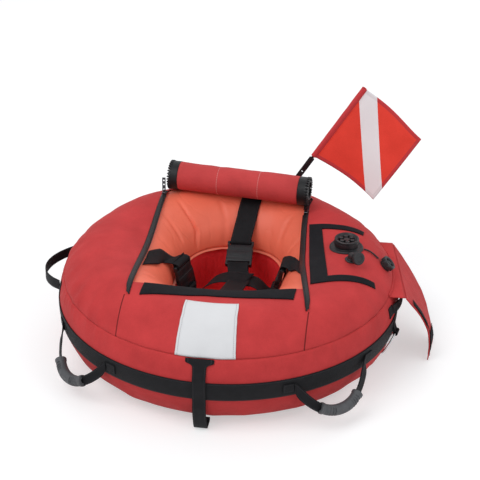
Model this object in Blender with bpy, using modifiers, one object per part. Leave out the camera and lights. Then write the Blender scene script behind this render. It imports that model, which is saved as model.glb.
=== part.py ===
"""Round freediving float: an air tube in a fabric cover, with its lid rolled back and a small flag.

The origin is the centre of the base, on the floor, and the front of the float is towards -Y.
"""

import math

import bmesh
import bpy
from mathutils import Matrix, Vector

# Fits
GAP = 0.0003
DRAPE_GAP = 0.0009
CUT_OVERRUN = 0.020
MERGE = 0.0001
MERGE_DEPTH = 0.0012
MM_IN_METRE = 1000
STEPS = 40

# Fabric cover, as a turned tube
OUTER_RADIUS = 0.400
SIDE_BULGE = 0.120
INNER_BULGE = 0.170
MID_HEIGHT = 0.135
TOP_HEIGHT = 0.266
LOWER_FULLNESS = 2.28
COVER_WALL = 0.0025
TUBE_RADIUS = OUTER_RADIUS - SIDE_BULGE
TOP_SEAM_HEIGHT = 0.192
SIDE_SEAM_HEIGHT = 0.112
TOP_PANEL_INNER_RADIUS = 0.165
FRONT_TURN = math.radians(3.0)

# Lid opening in the top panel, each corner as (x, y)
LEFT_EDGE = ((-0.198, 0.225), (-0.1885, 0.0), (-0.174, -0.269))
RIGHT_EDGE = ((0.148, 0.215), (0.1695, 0.0), (0.218, -0.252))
FRONT_EDGE_LEFT = (-0.150, -0.222)
FRONT_EDGE_RIGHT = (0.187, -0.182)
REAR_EDGE_Y = 0.250

# Belt round the widest part
BELT_TOP_HEIGHT = 0.1375
BELT_WIDTH = 0.045
BELT_THICKNESS = 0.0020

# Air tube and the well that it stands round
TUBE_WALL = 0.0010
TUBE_CLEARANCE = 0.0020
WELL_RADIUS = 0.160
WELL_HALF_WIDTH_LEFT = 0.130
WELL_HALF_WIDTH_RIGHT = 0.125
WELL_HALF_DEPTH = 0.178
WELL_SQUARENESS = 2.6
TUBE_SEAM_HEIGHT = 0.150
TUBE_SEAM_WIDTH = 0.004
TUBE_SEAM_THICKNESS = 0.002
UNDERSIDE_shares = (0.55, 0.85)
LINING_THICKNESS = 0.0015
LINING_CLEARANCE = 0.0008
LINING_RADIUS = 0.1655

# Base drain
DRAIN_RADIUS = 0.008
DRAIN_PLACE = (0.0, 0.080)
EYELET_WALL = 0.0012
EYELET_FLANGE = 0.006
EYELET_LIP = 0.0010

# White front panel and hook-and-loop strips
PANEL_THICKNESS = 0.0008
WHITE_HALF_WIDTH_LOW = 0.066
WHITE_HALF_WIDTH_HIGH = 0.0586
WHITE_TOP_RADIUS = 0.281
FASTENER_THICKNESS = 0.0012
FASTENER_WIDTH = 0.046
FASTENER_SETBACK = 0.003
BAR_WIDTH = 0.030
ARM_WIDTH = 0.012
BAR_REAR = (0.180, 0.128)
BAR_FRONT = (0.221, -0.150)
REAR_ARM_END = (0.303, 0.122)
FRONT_ARM_END = (0.353, -0.088)

# Zips
ZIP_WIDTH = 0.012
ZIP_THICKNESS = 0.0014
SLIDER_LENGTH = 0.014
SLIDER_WIDTH = 0.0095
SLIDER_HEIGHT = 0.0045
SLIDER_ROUND = 0.0008
SLIDER_STEP_share = 0.03
LUG_WIDTH = 0.0030
LUG_HEIGHT = 0.0048
LUG_LENGTH = 0.0070
LUG_BORE = 0.0015
PIN_HEIGHT = 0.0021
PULL_LENGTH = 0.034
PULL_WIDTH = 0.0085
PULL_THICKNESS = 0.0016
PULL_PLAY = 0.0006
PULL_WINDOW = 0.0046
PULL_HOLE = 0.0021
PULL_HOLE_PLACES = (0.016, 0.026)
LEFT_PULL_LEAN = math.radians(12.0)
RIGHT_PULL_LEAN = math.radians(40.0)
LEFT_SLIDER_share = 0.035
RIGHT_SLIDER_share = 0.065
RIGHT_LUG_TURN = math.radians(-60.0)

# Rolled lid
ROLL_RADIUS = 0.038
ROLL_PITCH = 0.0075
ROLL_PLY = 0.0032
ROLL_TURNS = 2.4
ROLL_POINTS = 14
ROLL_CENTRE = (-0.019, 0.236)
ROLL_LENGTH = 0.302
ROLL_TURN = math.radians(-4.0)
ROLL_TAIL = 0.026
LID_ZIP_WIDTH = 0.021

# Inner straps and buckles
STRAP_WIDTH = 0.050
STRAP_THICKNESS = 0.0018
BUCKLE_WIDTH = 0.064
BUCKLE_THICKNESS = 0.012
FEMALE_LENGTH = 0.044
MALE_LENGTH = 0.030
PRONG_LENGTH = 0.020
PRONG_WIDTH = 0.007
PRONG_THICKNESS = 0.005
TONGUE_WIDTH = 0.010
BUCKLE_WALL = 0.0022
BUCKLE_ROUND = 0.0020
SLOT_LENGTH = 0.007
SLOT_CLEARANCE = 0.0015
SLOT_PASS_share = 0.33
PRONG_CLEARANCE = 0.0008
STRAP_SEAT = 0.0012
CROSS_CENTRE = (0.020, 0.030, 0.150)
REAR_BUCKLE_TOP = (0.002, 0.150, 0.184)
REAR_BUCKLE_FOOT = (0.008, 0.0765, 0.154)
LEFT_BUCKLE_TOP = (-0.115, 0.0, 0.198)
LEFT_BUCKLE_FOOT = (-0.098, 0.0, 0.118)
LEFT_BUCKLE_ACROSS = (0.34, 0.94, 0.0)
RIGHT_BUCKLE_TOP = (0.129, 0.020, 0.208)
RIGHT_BUCKLE_FOOT = (0.1065, 0.020, 0.138)
MALE_THICKNESS = 0.009
BAR_LENGTH = 0.004
BAR_ROUND = 0.001
RETURN_RUN = 0.012
STRAP_LIFT = 0.0022
STRAP_LIFT_GROWTH = 0.0011
REAR_STRAP_PLACES = ((0.012, 0.2495), (0.0106, 0.236), (0.0092, 0.222), (0.0078, 0.208), (0.0066, 0.196))
LEFT_STRAP_REAR = ((-0.1850, -0.036), (-0.178, -0.022), (-0.171, -0.010), (-0.163, 0.000))
LEFT_STRAP_FRONT = ((-0.1805, -0.118), (-0.172, -0.102), (-0.163, -0.084), (-0.154, -0.064))
LEFT_STRAP_BEND = ((-0.1455, -0.013, 0.2175), (-0.131, -0.003, 0.2165), (-0.1165, 0.0, 0.2100))
RIGHT_STRAP_REAR = ((0.1665, 0.006), (0.1600, 0.019), (0.1540, 0.030))
RIGHT_STRAP_FRONT = ((0.1800, -0.076), (0.1710, -0.058), (0.1620, -0.038))
RIGHT_STRAP_BEND = ((0.149, 0.004, 0.2200), (0.1395, 0.014, 0.2190), (0.1285, 0.020, 0.2155))
FRONT_STRAP_YS = (-0.205, -0.214, -0.225, -0.238, -0.2500)
LEFT_ARM_BEND = ((-0.092, 0.0, 0.1090), (-0.080, 0.005, 0.1100), (-0.063, 0.012, 0.1260),
                 (-0.044, 0.020, 0.1445))
RIGHT_ARM_BEND = ((0.096, 0.020, 0.1260), (0.087, 0.021, 0.1270), (0.071, 0.025, 0.1405))
CROSS_STEP = 0.0007
CROSS_REACH = 0.030

# Outer front strap, with its loop near the floor
OUTER_STRAP_WIDTH = 0.030
OUTER_STRAP_THICKNESS = 0.0020
TAB_HEIGHT = 0.012
STRAP_BELT_CLEARANCE = 0.0010
OUTER_STRAP_TURN = math.radians(1.5)
OUTER_STRAP_ROWS = ((0.191, 0.063), (0.183, 0.063), (0.176, 0.034), (0.160, 0.030), (0.145, 0.030),
                    (0.130, 0.030), (0.112, 0.030), (0.092, 0.030))
OUTER_LOOP_ROWS = ((0.4010, 0.070), (0.3960, 0.045), (0.3900, 0.025), (0.3840, 0.012),
                   (0.3780, 0.0045), (0.3660, 0.0040), (0.3520, 0.0040), (0.3470, 0.0070),
                   (0.3500, 0.0105), (0.3600, 0.0120))

# Grip handles
GRIP_SPREAD = math.radians(45.6)
GRIP_HALF_ANGLE = math.radians(14.1)
GRIP_HEIGHT = 0.115
GRIP_DROP = 0.067
GRIP_REACH = 0.033
GRIP_LENGTH = 0.136
GRIP_RADIUS = 0.0135
GRIP_WEBBING = 0.022
GRIP_WEBBING_THICKNESS = 0.0024
GRIP_BORE_CLEARANCE = 0.0006
GRIP_TACK = 0.026
GRIP_TACK_HEIGHT = 0.1150
GRIP_END_RADIUS = 0.4054
GRIP_SQUARENESS = 2.2
GRIP_SPANS = 12
TACK_THICKNESS = 0.0036

# Side webbing loops
LOOP_HALF_ANGLE = math.radians(12.5)
LOOP_HEIGHT = 0.163
LOOP_WEBBING = 0.025
LOOP_THICKNESS = 0.0020
LOOP_TACK = 0.022
LEFT_LOOP_REACH = 0.043
RIGHT_LOOP_REACH = 0.012
RIGHT_LOOP_TURN = math.radians(4.0)
LEFT_LOOP_TURN = math.radians(182.5)
LOOP_DROP = 0.006

# Steel ring and its tab
RING_TURN = math.radians(-7.0)
RING_RADIUS = 0.0325
RING_WIRE = 0.0025
RING_TOP_RADIUS = 0.4088
RING_TOP_HEIGHT = 0.1000
RING_LEAN = math.radians(26.5)
RING_TAB_WIDTH = 0.020
RING_TAB_THICKNESS = 0.0014
RING_TAB_TOP = 0.128
RING_BORE = 0.0046
RING_SAG = 0.0008
RING_PLATE_THICKNESS = 0.0030
RING_PLATE_RADIUS = 0.4030

# Valve flap, hanging open from the top seam
FLAP_TURN = math.radians(12.0)
FLAP_HALF_WIDTH = 0.130
FLAP_FOLD_RADIUS = 0.4045
FLAP_FOLD_HEIGHT = 0.187
FLAP_THICKNESS = 0.0030
FLAP_FOOT_HEIGHT = 0.0035
FLAP_REAR_REACH = 0.090
FLAP_FRONT_REACH = 0.064
FLAP_REAR_INSET = 0.145
FLAP_FRONT_INSET = 0.022
FLAP_BULGE = 0.022
FLAP_STRIP_THICKNESS = 0.0010
FLAP_STRIP_OUTER_shares = ((0.03, 0.08), (0.03, 0.955), (0.95, 0.955))
FLAP_STRIP_INNER_shares = ((0.10, 0.08), (0.17, 0.86), (0.95, 0.86))
HEM_THICKNESS = 0.0020
HEM_STEP = math.radians(1.0)
FLAP_HINGE_GAP = 0.0024

# Inflation valve
VALVE_PLACE = (0.272, 0.033)
VALVE_FLANGE_RADIUS = 0.040
VALVE_FLANGE_RING_shares = (1.0, 0.85, 0.72)
VALVE_FLANGE_THICKNESS = 0.0028
VALVE_NECK_RADIUS = 0.0215
VALVE_BORE_RADIUS = 0.0185
VALVE_BODY_RADIUS = 0.0285
VALVE_SEAT_HEIGHT = TOP_HEIGHT + 0.0052
VALVE_RIM_HEIGHT = VALVE_SEAT_HEIGHT + 0.0173
VALVE_FOOT_HEIGHT = TOP_HEIGHT - 0.0160
VALVE_HUB_RADIUS = 0.0060
VALVE_HUB_TOP = VALVE_SEAT_HEIGHT + 0.0043
VALVE_HUB_THICKNESS = 0.0035
LIP_RADIUS = 0.0150
LIP_THICKNESS = 0.0020
PORT_CLEARANCE = 0.0005
VALVE_SPOKES = 3
VALVE_SPOKE_WIDTH = 0.0024
STEM_RADIUS = 0.0022
STEM_CLEARANCE = 0.0005
SEAL_RADIUS = 0.0165
SEAL_THICKNESS = 0.0020
SEAL_TOP = VALVE_FOOT_HEIGHT + 0.0060
BUTTON_RADIUS = 0.0075
BUTTON_THICKNESS = 0.0030
BUTTON_FOOT = VALVE_HUB_TOP + 0.0070
SPRING_RADIUS = 0.0042
SPRING_WIRE = 0.00040
SPRING_TURNS = 3
SPRING_POINTS = 9

# Valve cap on its tether
CAP_PLACE = (0.3640, 0.0250)
CAP_RADIUS = 0.0190
CAP_HEIGHT = 0.0120
CAP_LOBES = 8
CAP_LOBE_DEPTH = 0.0016
PLUG_RADIUS = 0.0150
PLUG_HEIGHT = 0.0060
TETHER_RADIUS = 0.0019
TETHER_LIFT = 0.0032
TETHER_PLACES = ((0.3126, 0.032), (0.3240, 0.034), (0.3350, 0.031), (0.3470, 0.026))
CAP_LIFT = -0.0004

# Mouth valve
ORAL_PLACE = (0.290, -0.030)
ORAL_BASE_RADIUS = 0.0145
ORAL_BASE_THICKNESS = 0.0024
ORAL_STEM_RADIUS = 0.0055
ORAL_TUBE_RADIUS = 0.0085
ORAL_RISE = 0.0100
ORAL_REACH = 0.0320
ORAL_SLOPE = (0.59, -0.745, 0.26)
ORAL_CAP_RADIUS = 0.0145
ORAL_CAP_WALL = 0.0025
ORAL_CAP_DEPTH = 0.0060
ORAL_CAP_CLEARANCE = 0.0004
ORAL_LIFT = 0.0015
ORAL_NECK = 0.018
ORAL_BORE = 0.0060

# Flag and pole
POLE_FOOT = (0.0935, 0.325, 0.2560)
POLE_LEAN = math.radians(31.4)
POLE_WIDTH = 0.0135
POLE_THICKNESS = 0.0050
POLE_LENGTH = 0.104
POLE_ROUND = 0.0012
ROD_RADIUS = 0.0036
ROD_PLUG = 0.016
SLEEVE_LENGTH = 0.226
SLEEVE_RADIUS = 0.0068
SLEEVE_END = 0.005
SLEEVE_CLEARANCE = 0.0008
SLEEVE_RISE = 0.006
SNAP_RADIUS = 0.0020
SNAP_PLACE = 0.058
FLAG_FLY = 0.172
FLAG_THICKNESS = 0.0014
FLAG_SAG = 0.024
FLAG_CURL = 0.010
FLAG_WAVE_shares = (0.6, 0.9)
SOCKET_LENGTH = 0.034
SOCKET_WALL = 0.0024
SOCKET_CLEARANCE = 0.0004
PAD_RADIUS = 0.030
PAD_THICKNESS = 0.0024
BOSS_RADIUS = 0.0130
BOSS_HEIGHT = 0.0090
SOCKET_FOOT = 0.0015
POLE_START = 0.0070

# Colours as linear RGB
RED = (0.55, 0.045, 0.05)
DEEP_RED = (0.36, 0.025, 0.03)
ORANGE = (0.82, 0.16, 0.09)
FLAG_RED = (0.80, 0.06, 0.045)
WHITE = (0.80, 0.80, 0.80)
WEBBING = (0.017, 0.017, 0.020)
PLASTIC = (0.012, 0.012, 0.014)
GREY_RUBBER = (0.045, 0.047, 0.052)
STEEL = (0.62, 0.63, 0.65)


def collection(name):
    """A new collection in the scene."""
    made = bpy.data.collections.new(name)
    bpy.context.scene.collection.children.link(made)
    return made


for old in list(bpy.data.objects):
    bpy.data.objects.remove(old, do_unlink=True)
PARTS = collection("dive_flag_float")
CUTTERS = collection("cutters")


def finish(name, colour, roughness, metallic=0.0):
    """A plain material."""
    made = bpy.data.materials.new(name)
    made.use_nodes = True
    shader = made.node_tree.nodes["Principled BSDF"]
    shader.inputs["Base Color"].default_value = (*colour, 1.0)
    shader.inputs["Roughness"].default_value = roughness
    shader.inputs["Metallic"].default_value = metallic
    return made


COVER = finish("red_cover_fabric", RED, 0.8)
LINING = finish("deep_red_lining", DEEP_RED, 0.85)
BLADDER = finish("orange_coated_fabric", ORANGE, 0.55)
CLOTH_RED = finish("red_flag_cloth", FLAG_RED, 0.7)
CLOTH_WHITE = finish("white_cloth", WHITE, 0.75)
TAPE = finish("black_webbing", WEBBING, 0.85)
HARD = finish("black_plastic", PLASTIC, 0.4)
RUBBER = finish("grey_rubber", GREY_RUBBER, 0.6)
METAL = finish("bright_steel", STEEL, 0.25, 1.0)


# Builders

def add(name, data, material, helper=False):
    """Link a mesh or curve as a named object."""
    made = bpy.data.objects.new(name, data)
    if helper:
        CUTTERS.objects.link(made)
        made.hide_render = True
        made.display_type = "WIRE"
    else:
        PARTS.objects.link(made)
        data.materials.append(material)
    return made


def from_bmesh(name, shape, material, helper=False):
    """Make an object of a bmesh, with its normals outwards."""
    bmesh.ops.recalc_face_normals(shape, faces=shape.faces)
    mesh = bpy.data.meshes.new(name)
    shape.to_mesh(mesh)
    shape.free()
    return add(name, mesh, material, helper)


def evaluated(piece):
    """The piece's mesh with its modifiers applied, doubles merged."""
    bpy.context.view_layer.update()
    graph = bpy.context.evaluated_depsgraph_get()
    mesh = bpy.data.meshes.new_from_object(piece.evaluated_get(graph))
    shape = bmesh.new()
    shape.from_mesh(mesh)
    bmesh.ops.remove_doubles(shape, verts=shape.verts, dist=MERGE / 2)
    shape.to_mesh(mesh)
    shape.free()
    return mesh


def baked(piece):
    """Replace the piece by a plain mesh object of the same name and place."""
    name, matrix, helper = piece.name, piece.matrix_world.copy(), piece.hide_render
    mesh = evaluated(piece)
    material = mesh.materials[0] if mesh.materials else None
    bpy.data.objects.remove(piece, do_unlink=True)
    mesh.name = name
    mesh.materials.clear()
    made = add(name, mesh, material, helper)
    made.matrix_world = matrix
    return made


def turned(name, profile, material, steps=STEPS):
    """Turn a closed (radius, height) profile, listed clockwise, about Z."""
    mesh = bpy.data.meshes.new(name)
    count = len(profile)
    edges = [(i, (i + 1) % count) for i in range(count)]
    if profile[0][0] == 0 and profile[-1][0] == 0:
        edges.pop()
    mesh.from_pydata([(r, 0, z) for r, z in profile], edges, [])
    made = add(name, mesh, material)
    screw = made.modifiers.new("Turn", "SCREW")
    screw.steps = screw.render_steps = steps
    screw.use_merge_vertices = True
    screw.merge_threshold = MERGE
    return made


def sheet(name, place, cells, thickness, material, helper=False):
    """A grid whose corners go to place(u, v), thickened along its normals."""
    shape = bmesh.new()
    bmesh.ops.create_grid(shape, x_segments=cells[0], y_segments=cells[1], size=0.5)
    for vert in shape.verts:
        vert.co = place(vert.co.x + 0.5, vert.co.y + 0.5)
    mesh = bpy.data.meshes.new(name)
    shape.to_mesh(mesh)
    shape.free()
    made = add(name, mesh, material, helper)
    wall = made.modifiers.new("Wall", "SOLIDIFY")
    wall.thickness = thickness
    wall.offset = 1.0
    wall.use_even_offset = True
    return made


def block(name, size, matrix, material, rounding=0.0, helper=False):
    """A box of the given size, with rounded edges."""
    shape = bmesh.new()
    bmesh.ops.create_cube(shape, size=1.0)
    bmesh.ops.scale(shape, vec=size, verts=shape.verts)
    made = from_bmesh(name, shape, material, helper)
    made.matrix_world = matrix
    if rounding:
        bevel = made.modifiers.new("Round", "BEVEL")
        bevel.width = rounding
        bevel.segments = 1
    return made


def rod(name, radius, length, matrix, material, sides=16, helper=False):
    """A cylinder centred on the matrix, along its Z."""
    shape = bmesh.new()
    bmesh.ops.create_cone(shape, cap_ends=True, segments=sides, radius1=radius,
                          radius2=radius, depth=length)
    made = from_bmesh(name, shape, material, helper)
    made.matrix_world = matrix
    return made


def tube(name, points, radius, material, resolution=2, helper=False):
    """A round tube along a list of points."""
    data = bpy.data.curves.new(name, "CURVE")
    data.dimensions = "3D"
    data.bevel_depth = radius
    data.bevel_resolution = resolution
    data.use_fill_caps = True
    line = data.splines.new("POLY")
    line.points.add(len(points) - 1)
    for index, point in enumerate(points):
        line.points[index].co = (*point, 1.0)
    return add(name, data, material, helper)


def boolean(piece, other, operation):
    """Cut or join another object, which becomes a hidden helper."""
    if other.name not in CUTTERS.objects:
        PARTS.objects.unlink(other)
        CUTTERS.objects.link(other)
        other.hide_render = True
        other.display_type = "WIRE"
    step = piece.modifiers.new(operation.title(), "BOOLEAN")
    step.operation = operation
    step.solver = "EXACT"
    step.object = other


def cut(piece, *others):
    """Cut the others out of the piece."""
    for other in others:
        boolean(piece, other, "DIFFERENCE")


def unite(piece, *others):
    """Join the others to the piece."""
    for other in others:
        boolean(piece, other, "UNION")


def put(piece, place):
    """Move a piece sideways to a place."""
    piece.matrix_world = Matrix.Translation((*place, 0))
    return piece


def pivot(place, *names):
    """Put the origins of moving pieces on their joint's axis."""
    move = Matrix.Translation(place)
    for name in names:
        piece = bpy.data.objects[name]
        piece.data.transform(move.inverted() @ piece.matrix_world)
        piece.matrix_world = move


def smooth(points, share):
    """A point on the smooth curve through the points, at a share of its way."""
    spans = len(points) - 1
    index = min(int(share * spans), spans - 1)
    t = share * spans - index
    p = [Vector(points[max(0, min(spans, index + k))]) for k in (-1, 0, 1, 2)]
    return 0.5 * ((2 * p[1]) + (p[2] - p[0]) * t + (2 * p[0] - 5 * p[1] + 4 * p[2] - p[3]) * t ** 2
                  + (3 * p[1] - p[0] - 3 * p[2] + p[3]) * t ** 3)


def mix(a, b, share):
    """The value that lies this share of the way from a to b."""
    return a + (b - a) * share


def frame_at(origin, x_axis, y_axis):
    """A placing matrix with X along x_axis and Y as near y_axis as it can be."""
    x = Vector(x_axis).normalized()
    z = x.cross(Vector(y_axis)).normalized()
    y = z.cross(x)
    return Matrix.Translation(Vector(origin)) @ Matrix((x, y, z)).transposed().to_4x4()


def facing(origin, along):
    """A placing matrix with its Z along a direction."""
    turn = Vector(along).to_track_quat("Z", "Y").to_matrix().to_4x4()
    return Matrix.Translation(Vector(origin)) @ turn


def polar(radius, angle, height):
    """A point at a radius and angle about the float's axis."""
    return Vector((radius * math.cos(angle), radius * math.sin(angle), height))


# Surfaces that carry the other pieces

def tube_point(angle, lift=0.0):
    """Radius and height on the cover, raised by lift, at an angle about the tube's centre line."""
    along, up = math.cos(angle), math.sin(angle)
    reach = (SIDE_BULGE if along >= 0 else INNER_BULGE) + lift
    rise = (TOP_HEIGHT - MID_HEIGHT if up >= 0 else MID_HEIGHT) + lift
    power = 1.0 if up >= 0 else 2 / LOWER_FULLNESS
    return (TUBE_RADIUS + reach * math.copysign(abs(along) ** power, along),
            MID_HEIGHT + rise * math.copysign(abs(up) ** power, up))


def angle_at_height(height):
    """The angle about the tube's centre line at a height on the cover's outer side."""
    if height >= MID_HEIGHT:
        return math.asin((height - MID_HEIGHT) / (TOP_HEIGHT - MID_HEIGHT))
    return -math.asin(((MID_HEIGHT - height) / MID_HEIGHT) ** (LOWER_FULLNESS / 2))


def angle_at_radius(radius):
    """The angle about the tube's centre line at a radius on the cover's top."""
    offset = radius - TUBE_RADIUS
    return math.acos(offset / (SIDE_BULGE if offset >= 0 else INNER_BULGE))


def on_cover(x, y, lift):
    """The point above (x, y) on the cover's top, raised by lift."""
    radius = math.hypot(x, y)
    r, z = tube_point(angle_at_radius(radius), lift)
    return Vector((x * r / radius, y * r / radius, z))


def cover_normal(x, y):
    """The cover's outward direction above (x, y)."""
    return (on_cover(x, y, GAP) - on_cover(x, y, 0)).normalized()


def on_side(angle, turn, sideways, lift):
    """A point on the cover at an angle about its tube, sideways of the plane at turn."""
    r, z = tube_point(angle, lift)
    out = math.sqrt(r * r - sideways * sideways)
    return Matrix.Rotation(turn, 3, "Z") @ Vector((out, sideways, z))


def well_radius(turn):
    """The radius of the well's rounded outline in a direction."""
    x, y = math.cos(turn), math.sin(turn)
    half = WELL_HALF_WIDTH_RIGHT if x >= 0 else WELL_HALF_WIDTH_LEFT
    n = WELL_SQUARENESS
    return ((abs(x) / half) ** n + (abs(y) / WELL_HALF_DEPTH) ** n) ** (-1 / n)


def fitted_to_well(mesh):
    """Stretch the inner half of a turned mesh from a round well to the well's outline."""
    for vert in mesh.vertices:
        radius = math.hypot(vert.co.x, vert.co.y)
        if radius >= TUBE_RADIUS:
            continue
        turn = math.atan2(vert.co.y, vert.co.x)
        share = (TUBE_RADIUS - radius) / (TUBE_RADIUS - WELL_RADIUS)
        new = TUBE_RADIUS - share * (TUBE_RADIUS - well_radius(turn))
        vert.co.x *= new / radius
        vert.co.y *= new / radius


TUBE_INSET = COVER_WALL + TUBE_CLEARANCE
TUBE_CROWN = TOP_HEIGHT - TUBE_INSET


def on_tube(x, y, lift):
    """The point above (x, y) on the air tube's slope into the well."""
    radius = math.hypot(x, y)
    reach = TUBE_RADIUS - well_radius(math.atan2(y, x)) + lift
    share = min(1.0, max(0.0, (TUBE_RADIUS - radius) / reach))
    rise = (TUBE_CROWN - TUBE_SEAM_HEIGHT + lift) * math.sqrt(1 - share * share)
    return Vector((x, y, TUBE_SEAM_HEIGHT + rise))


# Cover

SEAM_ANGLE = angle_at_height(TOP_SEAM_HEIGHT)
SIDE_ANGLE = angle_at_height(SIDE_SEAM_HEIGHT)
INNER_ANGLE = angle_at_radius(TOP_PANEL_INNER_RADIUS)


def shell_profile(high, low, count, trim_high, trim_low):
    """A closed profile of the cover's wall between two angles about the tube."""
    angles = [mix(high - trim_high, low + trim_low, i / count) for i in range(count + 1)]
    return ([tube_point(a) for a in angles]
            + [tube_point(a, -COVER_WALL) for a in reversed(angles)])


def opening_side(edge, y):
    """The x of one side of the lid opening at y, on a curve through its three places."""
    (x0, y0), (x1, y1), (x2, y2) = edge
    return (x0 * (y - y1) * (y - y2) / ((y0 - y1) * (y0 - y2))
            + x1 * (y - y0) * (y - y2) / ((y1 - y0) * (y1 - y2))
            + x2 * (y - y0) * (y - y1) / ((y2 - y0) * (y2 - y1)))


def front_edge_y(x):
    """The y of the lid opening's front edge at x."""
    share = (x - FRONT_EDGE_LEFT[0]) / (FRONT_EDGE_RIGHT[0] - FRONT_EDGE_LEFT[0])
    return mix(FRONT_EDGE_LEFT[1], FRONT_EDGE_RIGHT[1], share)


def opening_outline(count=10):
    """The lid opening in plan."""
    left_front = front_edge_y(LEFT_EDGE[1][0])
    right_front = front_edge_y(RIGHT_EDGE[2][0])
    right = [mix(right_front, REAR_EDGE_Y, i / count) for i in range(count + 1)]
    left = [mix(REAR_EDGE_Y, left_front, i / count) for i in range(count + 1)]
    return ([(opening_side(RIGHT_EDGE, y), y) for y in right]
            + [(opening_side(LEFT_EDGE, y), y) for y in left])


def outline_cutter(name, outline, low, high):
    """An upright prism on an outline."""
    shape = bmesh.new()
    corners = [shape.verts.new((x, y, low)) for x, y in outline]
    base = shape.faces.new(corners)
    wall = bmesh.ops.extrude_face_region(shape, geom=[base])
    raised = [item for item in wall["geom"] if isinstance(item, bmesh.types.BMVert)]
    bmesh.ops.translate(shape, vec=(0, 0, high - low), verts=raised)
    return from_bmesh(name, shape, None, helper=True)


def port_cutter(name, place, radius):
    """A round hole for a valve through the cover and the air tube's top."""
    return rod(name, radius, 2 * CUT_OVERRUN, Matrix.Translation((*place, TUBE_CROWN)), None, 24, True)


def make_cover():
    gap_angle = GAP / (2 * SIDE_BULGE)
    top = turned("top_panel",
                 shell_profile(INNER_ANGLE, SEAM_ANGLE, 8, 0, gap_angle), COVER)
    turned("upper_side_panel",
           shell_profile(SEAM_ANGLE, SIDE_ANGLE, 3, gap_angle, gap_angle), COVER)
    turned("lower_side_panel",
           shell_profile(SIDE_ANGLE, -math.pi / 2, 6, gap_angle, 0), COVER)
    cut(top, outline_cutter("opening_cutter", opening_outline(),
                            MID_HEIGHT, TOP_HEIGHT + CUT_OVERRUN))
    base_radius = TUBE_RADIUS - GAP
    base = turned("base_panel", [(0, COVER_WALL), (base_radius, COVER_WALL), (base_radius, 0), (0, 0)],
                  LINING)
    cut(base, rod("drain_hole", DRAIN_RADIUS, 2 * CUT_OVERRUN, Matrix.Translation((*DRAIN_PLACE, 0)),
                  None, 24, True))
    bore = DRAIN_RADIUS - GAP
    lip = COVER_WALL + GAP
    eyelet = turned("drain_eyelet",
                    [(bore - EYELET_WALL, lip + EYELET_LIP), (bore + EYELET_FLANGE, lip + EYELET_LIP),
                     (bore + EYELET_FLANGE, lip), (bore, lip), (bore, GAP),
                     (bore - EYELET_WALL, GAP)], METAL, 20)
    put(eyelet, DRAIN_PLACE)
    high = angle_at_height(BELT_TOP_HEIGHT)
    low = angle_at_height(BELT_TOP_HEIGHT - BELT_WIDTH)
    angles = [mix(high, low, i / 4) for i in range(5)]
    turned("belt", [tube_point(a, GAP + BELT_THICKNESS) for a in angles]
           + [tube_point(a, GAP) for a in reversed(angles)], TAPE)
    return top


def make_air_tube():
    """The air tube with its welded inner seam, and the lining of the well below it."""
    turns = 8
    outer = [tube_point(math.pi / 2 - math.pi * i / turns, -TUBE_INSET) for i in range(turns + 1)]
    reach = TUBE_RADIUS - WELL_RADIUS
    rise = TUBE_CROWN - TUBE_SEAM_HEIGHT
    recess = LINING_RADIUS + LINING_THICKNESS + LINING_CLEARANCE
    half_seam = TUBE_SEAM_THICKNESS / 2
    foot = COVER_WALL + TUBE_CLEARANCE
    under = [(mix(TUBE_RADIUS, recess, UNDERSIDE_shares[0]), foot + GAP),
             (mix(TUBE_RADIUS, recess, UNDERSIDE_shares[1]), foot + TUBE_SEAM_WIDTH),
             (recess, foot + 3 * TUBE_SEAM_WIDTH),
             (recess, TUBE_SEAM_HEIGHT - half_seam),
             (WELL_RADIUS - TUBE_SEAM_WIDTH, TUBE_SEAM_HEIGHT - half_seam),
             (WELL_RADIUS - TUBE_SEAM_WIDTH, TUBE_SEAM_HEIGHT + half_seam)]
    climbs = 7
    slope = [(TUBE_RADIUS - reach * math.cos(math.radians(90 * i / climbs)),
              TUBE_SEAM_HEIGHT + rise * math.sin(math.radians(90 * i / climbs)))
             for i in range(climbs)]
    slope[0] = (WELL_RADIUS, TUBE_SEAM_HEIGHT + half_seam)
    skin = baked(turned("air_tube", outer + under + slope, BLADDER))
    fitted_to_well(skin.data)
    wall = skin.modifiers.new("Wall", "SOLIDIFY")
    wall.thickness = TUBE_WALL / 2
    wall.offset = -1.0
    high = TUBE_SEAM_HEIGHT - half_seam - LINING_CLEARANCE
    low = COVER_WALL + GAP
    edge = LINING_RADIUS + LINING_THICKNESS
    lining = baked(turned("well_lining", [(LINING_RADIUS, high), (edge, high),
                                          (edge, low), (LINING_RADIUS, low)], LINING))
    fitted_to_well(lining.data)
    return skin


# Pieces laid on the top panel

def make_front_panel():
    """The white panel from the top seam up to the front fastener."""
    low = SEAM_ANGLE + 2 * GAP / SIDE_BULGE
    high = angle_at_radius(WHITE_TOP_RADIUS)

    def place(u, v):
        half = mix(WHITE_HALF_WIDTH_LOW, WHITE_HALF_WIDTH_HIGH, v)
        turn = -math.pi / 2 + FRONT_TURN
        return on_side(mix(low, high, v), turn, (2 * u - 1) * half, DRAPE_GAP)
    return sheet("white_panel", place, (6, 6), PANEL_THICKNESS, CLOTH_WHITE)


def make_front_fastener():
    """The strip along the front edge of the lid opening."""
    def place(u, v):
        x = mix(FRONT_EDGE_LEFT[0], FRONT_EDGE_RIGHT[0], u)
        y = front_edge_y(x) - FASTENER_SETBACK - FASTENER_WIDTH * (1 - v)
        return on_cover(x, y, DRAPE_GAP)
    return sheet("front_fastener", place, (14, 3), FASTENER_THICKNESS, TAPE)


def polyline(points, share):
    """A point at a share of the way along straight runs, one run for each equal share."""
    spans = len(points) - 1
    index = min(int(share * spans), spans - 1)
    return Vector(points[index]).lerp(Vector(points[index + 1]), share * spans - index)


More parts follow.
